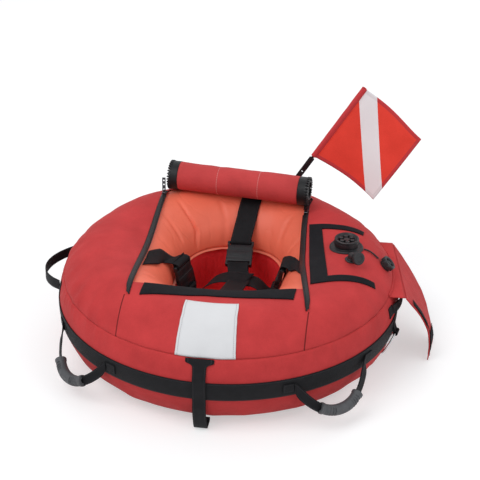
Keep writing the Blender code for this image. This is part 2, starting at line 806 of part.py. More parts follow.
def make_valve_fastener():
    """The C-shaped strip that the valve flap closes on."""
    outer = (REAR_ARM_END, BAR_REAR, BAR_FRONT, FRONT_ARM_END)
    inner = ((REAR_ARM_END[0], REAR_ARM_END[1] - ARM_WIDTH),
             (BAR_REAR[0] + BAR_WIDTH, BAR_REAR[1] - ARM_WIDTH),
             (BAR_FRONT[0] + BAR_WIDTH, BAR_FRONT[1] + 2 * ARM_WIDTH),
             (FRONT_ARM_END[0] - ARM_WIDTH / 2, FRONT_ARM_END[1] + ARM_WIDTH))

    def place(u, v):
        spot = polyline(inner, v).lerp(polyline(outer, v), u)
        return on_cover(spot.x, spot.y, DRAPE_GAP)
    piece = sheet("valve_fastener", place, (2, 21), FASTENER_THICKNESS, TAPE)
    for polygon in piece.data.polygons:
        if polygon.normal.z < 0:
            piece.data.flip_normals()
            break
    return piece


def zip_place(edge, outward, u, v):
    """A point on a zip: v runs from its rear end to its front end, and u across it."""
    y = mix(edge[0][1], edge[2][1], v)
    return opening_side(edge, y) + outward * ZIP_WIDTH * u, y


def make_zip(name, edge, outward):
    """The half of the zip that stays on the cover, beside the opening."""
    def place(u, v):
        across = u if outward > 0 else 1 - u
        x, y = zip_place(edge, outward, across, 1 - v)
        return on_cover(x, y, DRAPE_GAP)
    return sheet(name, place, (1, 20), ZIP_THICKNESS, TAPE)


def make_slider(side, edge, outward, share, lug_turn, pull_lean):
    """A slider near the rear end of a zip, with its pull standing up."""
    lift = DRAPE_GAP + ZIP_THICKNESS + GAP
    start = on_cover(*zip_place(edge, outward, 0.5, share), lift)
    ahead = on_cover(*zip_place(edge, outward, 0.5, share - SLIDER_STEP_share), lift) - start
    up = cover_normal(start.x, start.y)
    base = frame_at(start, ahead, up.cross(ahead))
    rise = Matrix.Translation((0, 0, SLIDER_HEIGHT / 2))
    body = block(f"{side}_slider", (SLIDER_LENGTH, SLIDER_WIDTH, SLIDER_HEIGHT), base @ rise,
                 METAL, SLIDER_ROUND)
    turned_lug = base @ Matrix.Rotation(lug_turn, 4, "Z")
    lug = block(f"{side}_lug", (LUG_LENGTH, LUG_WIDTH, LUG_HEIGHT + MERGE_DEPTH),
                turned_lug @ Matrix.Translation(
                    (0, 0, SLIDER_HEIGHT + (LUG_HEIGHT - MERGE_DEPTH) / 2)), None, helper=True)
    pin = turned_lug @ Matrix.Translation((0, 0, SLIDER_HEIGHT + PIN_HEIGHT))
    hole = rod(f"{side}_lug_bore", LUG_BORE, 2 * LUG_WIDTH,
               pin @ Matrix.Rotation(math.pi / 2, 4, "X"), None, 10, True)
    unite(body, lug)
    cut(body, hole)
    lean = pin @ Matrix.Rotation(pull_lean, 4, "Y")
    half_bar = PULL_THICKNESS / 2
    pull = block(f"{side}_pull", (PULL_THICKNESS, PULL_WIDTH, PULL_LENGTH),
                 lean @ Matrix.Translation((0, 0, PULL_LENGTH / 2 - half_bar)), METAL)
    window = block(f"{side}_window", (2 * PULL_WIDTH, LUG_WIDTH + 2 * PULL_PLAY, PULL_WINDOW),
                   lean @ Matrix.Translation((0, 0, half_bar + PULL_WINDOW / 2)), None, helper=True)
    cut(pull, window)
    for index, place in enumerate(PULL_HOLE_PLACES):
        cut(pull, rod(f"{side}_pull_hole_{index}", PULL_HOLE, PULL_WIDTH,
                      lean @ Matrix.Translation((0, 0, place))
                      @ Matrix.Rotation(math.pi / 2, 4, "Y"), None, 10, True))
    pivot(start, f"{side}_slider")
    pivot(pin.translation, f"{side}_pull")
    return base, pin


# Lid rolled back on the rear of the cover

def roll_outline():
    """The rolled lid's section: a spiral ply with a tail that lies on the cover."""
    count = int(ROLL_TURNS * ROLL_POINTS)
    outer, inner = [(ROLL_TAIL, -ROLL_RADIUS)], [(ROLL_TAIL, -ROLL_RADIUS + ROLL_PLY)]
    for i in range(count + 1):
        turn = i / ROLL_POINTS
        angle = -math.pi / 2 - 2 * math.pi * turn
        for line, radius in ((outer, ROLL_RADIUS), (inner, ROLL_RADIUS - ROLL_PLY)):
            reach = radius - ROLL_PITCH * turn
            line.append((reach * math.cos(angle), reach * math.sin(angle)))
    return outer + inner[::-1]


def roll_matrix(offset):
    """The place of a stretch of the roll, offset along its length, with its origin at the tail."""
    centre = Matrix.Translation((*ROLL_CENTRE, TOP_HEIGHT + GAP)) @ Matrix.Rotation(ROLL_TURN, 4, "Z")
    along = Matrix(((0, 0, 1), (1, 0, 0), (0, 1, 0))).to_4x4()
    return centre @ Matrix.Translation((offset, ROLL_TAIL, 0)) @ along


def roll_piece(name, length, offset, material):
    """One stretch of the roll."""
    data = bpy.data.curves.new(name, "CURVE")
    data.dimensions = "2D"
    data.fill_mode = "BOTH"
    data.extrude = length / 2
    line = data.splines.new("POLY")
    outline = roll_outline()
    line.points.add(len(outline) - 1)
    for point, (x, y) in zip(line.points, outline):
        point.co = (x - ROLL_TAIL, y + ROLL_RADIUS, 0, 1)
    line.use_cyclic_u = True
    made = add(name, data, material)
    made.matrix_world = roll_matrix(offset)
    return made


def make_roll():
    roll_piece("rolled_lid", ROLL_LENGTH, 0, COVER)
    beside = (ROLL_LENGTH + LID_ZIP_WIDTH) / 2 + GAP
    roll_piece("lid_zip_left", LID_ZIP_WIDTH, -beside, TAPE)
    roll_piece("lid_zip_right", LID_ZIP_WIDTH, beside, TAPE)


# Straps and buckles

def ribbon(name, rows, width, thickness, material, helper=False):
    """A band through rows of (centre, direction across it), thickened both ways."""
    return band(name, [crossing(centre, across, width) for centre, across in rows], thickness,
                material, helper)


def crossing(centre, across, width):
    """The first edge, middle and last edge of a straight row across a band."""
    half = Vector(across).normalized() * (width / 2)
    return Vector(centre) - half, Vector(centre), Vector(centre) + half


def band(name, rows, thickness, material, helper=False):
    """A band through rows of (first edge, middle, last edge), thickened both ways."""
    last = len(rows) - 1
    made = sheet(name, lambda u, v: rows[round(v * last)][round(2 * u)], (2, last), thickness,
                 material, helper=helper)
    made.modifiers["Wall"].offset = 0.0
    return made


def bar_rows(base, bar, thickness, side, run):
    """Rows of a strap that passes a bar, turns down through the slot behind it and comes back."""
    half = thickness / 2 + STRAP_SEAT + STRAP_THICKNESS / 2
    slot = BAR_LENGTH + SLOT_LENGTH / 2
    inside = SLOT_PASS_share * thickness
    path = ((-run, half), (-2 * BAR_ROUND, half), (BAR_LENGTH, half), (slot, inside),
            (slot, -inside), (BAR_LENGTH, -half), (-2 * BAR_ROUND, -half), (-run, -half))
    across = base.to_3x3() @ Vector((0, 1, 0))
    return [(base @ Vector((bar + side * x, 0, z)), across) for x, z in path]


def make_buckle(side, top, foot, across):
    """A side-release buckle from the upper strap's bar to the cross's bar."""
    base = frame_at(top, Vector(foot) - Vector(top), across)
    male = block(f"{side}_buckle_male", (MALE_LENGTH, BUCKLE_WIDTH, MALE_THICKNESS),
                 base @ Matrix.Translation((MALE_LENGTH / 2, 0, 0)), HARD, BUCKLE_ROUND)
    slot_size = (SLOT_LENGTH, STRAP_WIDTH + 2 * SLOT_CLEARANCE, 2 * BUCKLE_THICKNESS)
    slot_middle = BAR_LENGTH + SLOT_LENGTH / 2
    cut(male, block(f"{side}_male_slot", slot_size,
                    base @ Matrix.Translation((slot_middle, 0, 0)), None, helper=True))
    mouth = MALE_LENGTH + GAP
    reach = (BUCKLE_WIDTH - PRONG_WIDTH) / 2 - BUCKLE_WALL - PRONG_CLEARANCE
    for index, (offset, width) in enumerate(((-reach, PRONG_WIDTH), (0, TONGUE_WIDTH),
                                             (reach, PRONG_WIDTH))):
        length = PRONG_LENGTH + MERGE_DEPTH
        unite(male, block(f"{side}_prong_{index}", (length, width, PRONG_THICKNESS),
                          base @ Matrix.Translation((MALE_LENGTH + PRONG_LENGTH / 2
                                                     - MERGE_DEPTH / 2, offset, 0)),
                          None, helper=True))
    female = block(f"{side}_buckle_female", (FEMALE_LENGTH, BUCKLE_WIDTH, BUCKLE_THICKNESS),
                   base @ Matrix.Translation((mouth + FEMALE_LENGTH / 2, 0, 0)), HARD, BUCKLE_ROUND)
    pocket = PRONG_LENGTH + PRONG_CLEARANCE
    tall = PRONG_THICKNESS + 2 * PRONG_CLEARANCE
    cut(female, block(f"{side}_pocket", (2 * pocket, BUCKLE_WIDTH - 2 * BUCKLE_WALL, tall),
                      base @ Matrix.Translation((mouth, 0, 0)), None, helper=True))
    cut(female, block(f"{side}_windows", (pocket / 2, 2 * BUCKLE_WIDTH, tall - GAP),
                      base @ Matrix.Translation((mouth + pocket / 2, 0, 0)), None, helper=True))
    pivot(top, f"{side}_buckle_male")
    tail = mouth + FEMALE_LENGTH
    cut(female, block(f"{side}_female_slot", slot_size,
                      base @ Matrix.Translation((tail - slot_middle, 0, 0)), None, helper=True))
    return base, tail


def inner_strap(side, base, guide):
    """The strap from the edge of the cover down to the male buckle's bar."""
    across = base.to_3x3() @ Vector((0, 1, 0))
    rows = [(point, across) for point in guide]
    return ribbon(f"{side}_inner_strap", rows + bar_rows(base, 0, MALE_THICKNESS, 1, RETURN_RUN)[1:],
                  STRAP_WIDTH, STRAP_THICKNESS, TAPE)


def slanted_strap(side, base, ends, bend):
    """A strap that crosses the air tube at a slant, from both ends of its rows in plan."""
    across = base.to_3x3() @ Vector((0, 1, 0))
    rows = []
    for index, (first, last) in enumerate(ends):
        lift = STRAP_LIFT + STRAP_LIFT_GROWTH * index
        middle = Vector(first).lerp(Vector(last), 0.5)
        rows.append([on_tube(*place, lift) for place in (first, middle, last)])
    straight = [(point, across) for point in bend]
    straight += bar_rows(base, 0, MALE_THICKNESS, 1, RETURN_RUN)[1:]
    rows += [crossing(centre, way, STRAP_WIDTH) for centre, way in straight]
    return band(f"{side}_inner_strap", rows, STRAP_THICKNESS, TAPE)


def strap_guide(places):
    """Points on the air tube's slope, clearer of it the further they lie from the cover."""
    return [on_tube(x, y, STRAP_LIFT + STRAP_LIFT_GROWTH * index)
            for index, (x, y) in enumerate(places)]


def make_inner_straps():
    """Three buckled straps and a plain one, which meet in the middle of the well."""
    rear, rear_tail = make_buckle("rear", REAR_BUCKLE_TOP, REAR_BUCKLE_FOOT, (1, 0, 0))
    left, left_tail = make_buckle("left", LEFT_BUCKLE_TOP, LEFT_BUCKLE_FOOT, LEFT_BUCKLE_ACROSS)
    right, right_tail = make_buckle("right", RIGHT_BUCKLE_TOP, RIGHT_BUCKLE_FOOT, (0, -1, 0))
    inner_strap("rear", rear, strap_guide(REAR_STRAP_PLACES))
    slanted_strap("left", left, list(zip(LEFT_STRAP_FRONT, LEFT_STRAP_REAR)),
                  [Vector(point) for point in LEFT_STRAP_BEND])
    slanted_strap("right", right, list(zip(RIGHT_STRAP_REAR, RIGHT_STRAP_FRONT)),
                  [Vector(point) for point in RIGHT_STRAP_BEND])
    centre = Vector(CROSS_CENTRE)
    across = Vector((1, 0, 0))
    front = strap_guide([(centre.x, y) for y in reversed(FRONT_STRAP_YS)])[::-1]
    front = [(point, across) for point in front]
    tail = bar_rows(rear, rear_tail, BUCKLE_THICKNESS, -1, RETURN_RUN)[::-1]
    cross = ribbon("strap_cross", tail + [(centre, across)] + front, STRAP_WIDTH,
                   STRAP_THICKNESS, TAPE)
    for name, base, bar, bend, turn, rise in (
            ("left", left, left_tail, LEFT_ARM_BEND, 1, CROSS_STEP),
            ("right", right, right_tail, RIGHT_ARM_BEND, -1, -CROSS_STEP)):
        rows = bar_rows(base, bar, BUCKLE_THICKNESS, -1, RETURN_RUN)[::-1]
        across = base.to_3x3() @ Vector((0, 1, 0))
        path = [Vector(point) for point in bend]
        path += [centre + Vector((-turn * CROSS_REACH, 0, rise)),
                 centre + Vector((turn * CROSS_REACH / 2, 0, rise))]
        unite(cross, ribbon(f"{name}_arm", rows[:-1] + [(p, across) for p in path],
                            STRAP_WIDTH, STRAP_THICKNESS, None, helper=True))


def make_front_strap():
    """The strap from the top seam, over the belt and down to a loop at the floor."""
    turn = -math.pi / 2 + OUTER_STRAP_TURN
    rows = []
    for height, width in OUTER_STRAP_ROWS:
        lift = 2 * STRAP_BELT_CLEARANCE + GAP + BELT_THICKNESS
        if height >= BELT_TOP_HEIGHT + TAB_HEIGHT:
            lift = DRAPE_GAP
        radius, z = tube_point(angle_at_height(height), lift)
        rows.append((radius, z, width))
    rows += [(radius, z, OUTER_STRAP_WIDTH) for radius, z in OUTER_LOOP_ROWS]
    last = len(rows) - 1

    def place(u, v):
        radius, z, width = rows[round(v * last)]
        return Matrix.Rotation(turn, 3, "Z") @ Vector((radius, (0.5 - u) * width, z))
    sheet("front_strap", place, (2, last), OUTER_STRAP_THICKNESS, TAPE)


# Handles on the belt and the side

def handle_rows(turn, half_angle, radius, reach, height, drop, squareness, count):
    """Rows of a webbing handle that stands out from the side between its two ends."""
    rows = []
    points = []
    for index in range(count + 1):
        s = 2 * index / count - 1
        angle = turn + s * half_angle
        points.append(polar(radius + reach * (1 - s * s), angle,
                            height - drop * (1 - abs(s) ** squareness)))
    for index, point in enumerate(points):
        ahead = points[min(count, index + 1)] - points[max(0, index - 1)]
        normal = Vector((point.x, point.y, 0)).normalized()
        rows.append((point, normal.cross(ahead)))
    return rows


def make_grip(name, turn):
    """Webbing hanging below the belt, and the rubber grip that it runs through."""
    rows = handle_rows(turn, GRIP_HALF_ANGLE, GRIP_END_RADIUS, GRIP_REACH, GRIP_HEIGHT,
                       GRIP_DROP, GRIP_SQUARENESS, GRIP_SPANS)
    rows[0] = (rows[0][0], Vector((0, 0, 1)))
    rows[-1] = (rows[-1][0], Vector((0, 0, 1)))
    ribbon(f"{name}_webbing", rows, GRIP_WEBBING, GRIP_WEBBING_THICKNESS, TAPE)
    inner = [row for row in rows if (row[0] - rows[GRIP_SPANS // 2][0]).length < GRIP_LENGTH / 2]
    grip = baked(tube(f"{name}_grip", [row[0] for row in inner], GRIP_RADIUS, RUBBER, 3))
    first, last = inner[0], inner[-1]
    beyond = [(first[0] + (first[0] - inner[1][0]) / 2, first[1])] + inner
    beyond.append((last[0] + (last[0] - inner[-2][0]) / 2, last[1]))
    bore = ribbon(f"{name}_bore", beyond, GRIP_WEBBING + 2 * GRIP_BORE_CLEARANCE,
                  GRIP_WEBBING_THICKNESS + 2 * GRIP_BORE_CLEARANCE, None, helper=True)
    cut(grip, bore)
    axis = polar(GRIP_END_RADIUS * math.cos(GRIP_HALF_ANGLE), turn, GRIP_HEIGHT + GRIP_WEBBING / 2)
    pivot(axis, f"{name}_webbing", f"{name}_grip")


def side_patch(name, turn, height, length, width, lift, thickness, material, helper=False):
    """A patch of webbing lying on the side, length along the side and width up it."""
    low = angle_at_height(height - width / 2)
    high = angle_at_height(height + width / 2)

    def place(u, v):
        return on_side(mix(low, high, v), turn, (u - 0.5) * length, lift)
    return sheet(name, place, (2, 2), thickness, material, helper=helper)


GRIP_TURNS = {"front_left": -math.pi / 2 - GRIP_SPREAD, "front_right": -math.pi / 2 + GRIP_SPREAD,
              "rear_left": math.pi / 2 + GRIP_SPREAD, "rear_right": math.pi / 2 - GRIP_SPREAD}


def make_grips():
    """Four grips, and their sewn ends on the belt."""
    belt = bpy.data.objects["belt"]
    offset = GRIP_HALF_ANGLE + (GRIP_TACK / 2 + GAP) / OUTER_RADIUS
    for name, turn in GRIP_TURNS.items():
        make_grip(name, turn)
        for index, side in enumerate((-1, 1)):
            unite(belt, side_patch(f"{name}_tack_{index}", turn + side * offset, GRIP_TACK_HEIGHT,
                                   GRIP_TACK, GRIP_WEBBING, DRAPE_GAP, TACK_THICKNESS, None, True))


def make_loop(name, turn, reach):
    """A webbing loop on the upper side panel, and its two sewn ends."""
    radius, _ = tube_point(angle_at_height(LOOP_HEIGHT), LOOP_THICKNESS + GAP)
    rows = handle_rows(turn, LOOP_HALF_ANGLE, radius, reach, LOOP_HEIGHT, LOOP_DROP, 2.0, 10)
    rows[0] = (rows[0][0], Vector((0, 0, 1)))
    rows[-1] = (rows[-1][0], Vector((0, 0, 1)))
    ribbon(f"{name}_loop", rows, LOOP_WEBBING, LOOP_THICKNESS, TAPE)
    pivot(polar(radius * math.cos(LOOP_HALF_ANGLE), turn, LOOP_HEIGHT + LOOP_WEBBING / 2),
          f"{name}_loop")
    offset = LOOP_HALF_ANGLE + (LOOP_TACK / 2 + 4 * GAP) / OUTER_RADIUS
    for end, side in (("front", -1), ("rear", 1)):
        side = side if turn < math.pi / 2 else -side
        side_patch(f"{name}_loop_{end}_tack", turn + side * offset, LOOP_HEIGHT, LOOP_TACK,
                   LOOP_WEBBING, GAP, LOOP_THICKNESS, TAPE)


def make_ring():
    """A steel ring hanging in a tab on the belt."""
    belt = bpy.data.objects["belt"]
    top = polar(RING_TOP_RADIUS, RING_TURN, RING_TOP_HEIGHT)
    tangent = polar(1, RING_TURN + math.pi / 2, 0)
    down = polar(-math.sin(RING_LEAN), RING_TURN, -math.cos(RING_LEAN))
    centre = top + down * RING_RADIUS
    count = 28
    points = [centre + RING_RADIUS * (down * math.cos(2 * math.pi * i / count)
                                      + tangent * math.sin(2 * math.pi * i / count))
              for i in range(count)]
    data = bpy.data.curves.new("ring", "CURVE")
    data.dimensions = "3D"
    data.bevel_depth = RING_WIRE
    data.bevel_resolution = 1
    line = data.splines.new("POLY")
    line.points.add(count - 1)
    for point, place in zip(line.points, points):
        point.co = (*place, 1.0)
    line.use_cyclic_u = True
    add("ring", data, METAL)
    pivot(top, "ring")
    boss_place = frame_at(top - Vector((0, 0, RING_SAG)), tangent.cross(Vector((0, 0, 1))), (0, 0, 1))
    boss = rod("ring_boss", RING_BORE + RING_TAB_THICKNESS, RING_TAB_WIDTH,
               boss_place, None, 16, True)
    bore = rod("ring_bore", RING_BORE, 2 * RING_TAB_WIDTH, boss_place, None, 16, True)
    tall = RING_TAB_TOP - RING_TOP_HEIGHT
    plate = block("ring_plate", (RING_PLATE_THICKNESS, RING_TAB_WIDTH, tall),
                  Matrix.Rotation(RING_TURN, 4, "Z") @ Matrix.Translation(
                      (RING_PLATE_RADIUS, 0, RING_TOP_HEIGHT + tall / 2)), None, helper=True)
    unite(belt, plate, boss)
    cut(belt, bore)


# Valve flap

FLAP_FOLD = polar(FLAP_FOLD_RADIUS, FLAP_TURN, FLAP_FOLD_HEIGHT)
FLAP_OUT = polar(1, FLAP_TURN, 0)
FLAP_ALONG = polar(1, FLAP_TURN + math.pi / 2, 0)


def flap_point(u, v, lift):
    """A point on the hanging flap: u from its front edge to its rear edge, v down from the fold."""
    front = Vector((-FLAP_HALF_WIDTH, 0, 0)).lerp(
        Vector((-FLAP_HALF_WIDTH + FLAP_FRONT_INSET, FLAP_FRONT_REACH, 0)), v)
    rear = Vector((FLAP_HALF_WIDTH, 0, 0)).lerp(
        Vector((FLAP_HALF_WIDTH - FLAP_REAR_INSET, FLAP_REAR_REACH, 0)), v)
    spot = front.lerp(rear, u)
    out = spot.y + FLAP_BULGE * math.sin(math.pi * v) + lift
    height = mix(FLAP_FOLD_HEIGHT - FLAP_HINGE_GAP, FLAP_FOOT_HEIGHT, v)
    base = Vector((FLAP_FOLD.x, FLAP_FOLD.y, 0))
    return base + FLAP_ALONG * spot.x + FLAP_OUT * out + Vector((0, 0, height + lift / 2))


def make_flap():
    """The flap's sewn hem, the flap and its own fastener strip."""
    def hem(u, v):
        sideways = mix(-FLAP_HALF_WIDTH, FLAP_HALF_WIDTH, u)
        seam = on_side(SEAM_ANGLE - HEM_STEP, FLAP_TURN, sideways, HEM_THICKNESS)
        fold = FLAP_FOLD + FLAP_ALONG * sideways - FLAP_OUT * GAP
        return seam.lerp(fold, v)
    sheet("flap_hem", hem, (8, 1), HEM_THICKNESS, TAPE)
    sheet("valve_flap", lambda u, v: flap_point(1 - u, v, 0), (6, 7), FLAP_THICKNESS, COVER)

    def strip(u, v):
        spot = polyline(FLAP_STRIP_INNER_shares, v).lerp(polyline(FLAP_STRIP_OUTER_shares, v), u)
        return flap_point(spot.x, spot.y, FLAP_THICKNESS + DRAPE_GAP)
    sheet("flap_fastener", strip, (2, 12), FLAP_STRIP_THICKNESS, TAPE)
    pivot(FLAP_FOLD, "valve_flap", "flap_fastener")


# Valves

def draped(mesh, beyond, place):
    """Lower the rings of a turned mesh beyond a radius onto the cover's crown."""
    for vert in mesh.vertices:
        if math.hypot(vert.co.x, vert.co.y) > beyond:
            spot = on_cover(vert.co.x + place[0], vert.co.y + place[1], DRAPE_GAP)
            vert.co.z += spot.z - TOP_HEIGHT - DRAPE_GAP


def make_valve():
    """The inflation valve: flange and neck, body, spring-held plunger, and cap on a tether."""
    foot = TOP_HEIGHT + DRAPE_GAP
    head = foot + VALVE_FLANGE_THICKNESS
    rings = [share * VALVE_FLANGE_RADIUS for share in VALVE_FLANGE_RING_shares]
    lip_top = SEAL_TOP + GAP + LIP_THICKNESS
    profile = ([(VALVE_BORE_RADIUS, VALVE_SEAT_HEIGHT), (VALVE_NECK_RADIUS, VALVE_SEAT_HEIGHT),
                (VALVE_NECK_RADIUS, head)] + [(r, head) for r in reversed(rings)]
               + [(r, foot) for r in rings]
               + [(VALVE_NECK_RADIUS, foot), (VALVE_NECK_RADIUS, VALVE_FOOT_HEIGHT),
                  (VALVE_BORE_RADIUS, VALVE_FOOT_HEIGHT), (VALVE_BORE_RADIUS, SEAL_TOP + GAP),
                  (LIP_RADIUS, SEAL_TOP + GAP), (LIP_RADIUS, lip_top), (VALVE_BORE_RADIUS, lip_top)])
    flange = baked(turned("valve_flange", profile, HARD, 20))
    draped(flange.data, VALVE_NECK_RADIUS + GAP, VALVE_PLACE)
    put(flange, VALVE_PLACE)
    low = VALVE_SEAT_HEIGHT + GAP
    body = baked(turned("valve_body", [(VALVE_BORE_RADIUS, VALVE_RIM_HEIGHT),
                                       (VALVE_BODY_RADIUS, VALVE_RIM_HEIGHT),
                                       (VALVE_BODY_RADIUS, low), (VALVE_BORE_RADIUS, low)], HARD, 24))
    put(body, VALVE_PLACE)
    hub_foot = VALVE_HUB_TOP - VALVE_HUB_THICKNESS
    middle = Matrix.Translation((*VALVE_PLACE, (VALVE_HUB_TOP + hub_foot) / 2))
    hub = rod("valve_hub", VALVE_HUB_RADIUS, VALVE_HUB_THICKNESS, middle, None, 16, True)
    for index in range(VALVE_SPOKES):
        reach = VALVE_BORE_RADIUS + MERGE_DEPTH
        spin = Matrix.Rotation(2 * math.pi * index / VALVE_SPOKES, 4, "Z")
        unite(body, block(f"valve_spoke_{index}", (reach, VALVE_SPOKE_WIDTH, VALVE_HUB_THICKNESS / 2),
                          middle @ spin @ Matrix.Translation((reach / 2, 0, 0)), None, helper=True))
    unite(body, hub)
    cut(body, rod("stem_bore", STEM_RADIUS + STEM_CLEARANCE, 4 * VALVE_HUB_THICKNESS, middle,
                  None, 16, True))
    top = BUTTON_FOOT + BUTTON_THICKNESS
    put(turned("valve_plunger", [(0, top), (BUTTON_RADIUS, top), (BUTTON_RADIUS, BUTTON_FOOT),
                                 (STEM_RADIUS, BUTTON_FOOT), (STEM_RADIUS, SEAL_TOP),
                                 (SEAL_RADIUS, SEAL_TOP), (SEAL_RADIUS, SEAL_TOP - SEAL_THICKNESS),
                                 (0, SEAL_TOP - SEAL_THICKNESS)], BLADDER, 16), VALVE_PLACE)
    spring_foot = VALVE_HUB_TOP + SPRING_WIRE + GAP
    spring_head = BUTTON_FOOT - SPRING_WIRE - GAP
    count = SPRING_POINTS * SPRING_TURNS
    points = [Vector((*VALVE_PLACE, mix(spring_foot, spring_head, i / count)))
              + polar(SPRING_RADIUS, 2 * math.pi * i / SPRING_POINTS, 0) for i in range(count + 1)]
    clear = min((points[i] - points[i + SPRING_POINTS]).length
                for i in range(count + 1 - SPRING_POINTS)) - 2 * SPRING_WIRE
    print(f"valve_spring: least gap to itself {clear * MM_IN_METRE:.2f} mm")
    tube("valve_spring", points, SPRING_WIRE, METAL, 1)
    pivot((*VALVE_PLACE, spring_foot), "valve_spring")


def make_cap():
    """The valve's cap, lying on the cover at the end of its tether."""
    spot = on_cover(*CAP_PLACE, CAP_LIFT)
    up = cover_normal(*CAP_PLACE)
    base = facing(spot, up)
    shape = bmesh.new()
    count = 4 * CAP_LOBES
    outline = []
    for index in range(count):
        angle = 2 * math.pi * index / count
        radius = CAP_RADIUS - CAP_LOBE_DEPTH * (1 - math.cos(CAP_LOBES * angle)) / 2
        outline.append(shape.verts.new((radius * math.cos(angle), radius * math.sin(angle),
                                        PLUG_HEIGHT)))
    face = shape.faces.new(outline)
    raised = bmesh.ops.extrude_face_region(shape, geom=[face])
    verts = [item for item in raised["geom"] if isinstance(item, bmesh.types.BMVert)]
    bmesh.ops.translate(shape, vec=(0, 0, CAP_HEIGHT), verts=verts)
    cap = from_bmesh("valve_cap", shape, HARD)
    cap.matrix_world = base
    unite(cap, rod("cap_plug", PLUG_RADIUS, PLUG_HEIGHT + MERGE_DEPTH,
                   base @ Matrix.Translation((0, 0, (PLUG_HEIGHT + MERGE_DEPTH) / 2)), None, 24, True))
    guide = [on_cover(*place, TETHER_LIFT) for place in TETHER_PLACES]
    points = [smooth(guide, i / 12) for i in range(13)]
    tube("cap_tether", points, TETHER_RADIUS, HARD, 1)


def make_mouth_valve():
    """The mouth valve: a base on the cover, an elbow tube and its cap."""
    up = cover_normal(*ORAL_PLACE)
    spot = on_cover(*ORAL_PLACE, ORAL_LIFT)
    base = facing(spot, up)
    plate = rod("mouth_valve", ORAL_BASE_RADIUS, ORAL_BASE_THICKNESS,
                base @ Matrix.Translation((0, 0, ORAL_BASE_THICKNESS / 2)), HARD, 20)
    neck = rod("mouth_neck", ORAL_STEM_RADIUS, ORAL_NECK, base @ Matrix.Translation(
        (0, 0, -ORAL_NECK / 2 + MERGE_DEPTH)), None, 16, True)
    corner = base @ Vector((0, 0, ORAL_RISE))
    along = Vector(ORAL_SLOPE).normalized()
    end = corner + along * ORAL_REACH
    path = [base @ Vector((0, 0, MERGE_DEPTH)), corner, corner + along * ORAL_TUBE_RADIUS, end]
    elbow = baked(tube("mouth_elbow", [smooth(path, i / 9) for i in range(10)], ORAL_TUBE_RADIUS,
                       None, helper=True))
    unite(plate, neck, elbow)
    cut(plate, rod("mouth_bore", ORAL_BORE, ORAL_REACH, facing(end - along * ORAL_REACH / 4, along),
                   None, 16, True))
    cap_base = facing(end, along)
    cap = rod("mouth_cap", ORAL_CAP_RADIUS, ORAL_CAP_WALL + ORAL_CAP_DEPTH,
              cap_base @ Matrix.Translation((0, 0, (ORAL_CAP_WALL - ORAL_CAP_DEPTH) / 2)), HARD, 20)
    cut(cap, rod("mouth_cap_hollow", ORAL_TUBE_RADIUS + ORAL_CAP_CLEARANCE, 2 * ORAL_CAP_DEPTH,
                 cap_base @ Matrix.Translation((0, 0, GAP - ORAL_CAP_DEPTH)), None, 20, True))
    pivot(end, "mouth_cap")
    return base


# Flag

POLE_ALONG = Vector((math.sin(POLE_LEAN), 0, math.cos(POLE_LEAN)))
POLE_BASE = frame_at(POLE_FOOT, (math.cos(POLE_LEAN), 0, -math.sin(POLE_LEAN)), (0, 1, 0))


def along_pole(start, end):
    """The place of a piece that runs between two distances up the pole, and its length."""
    return POLE_BASE @ Matrix.Translation((0, 0, (start + end) / 2)), end - start


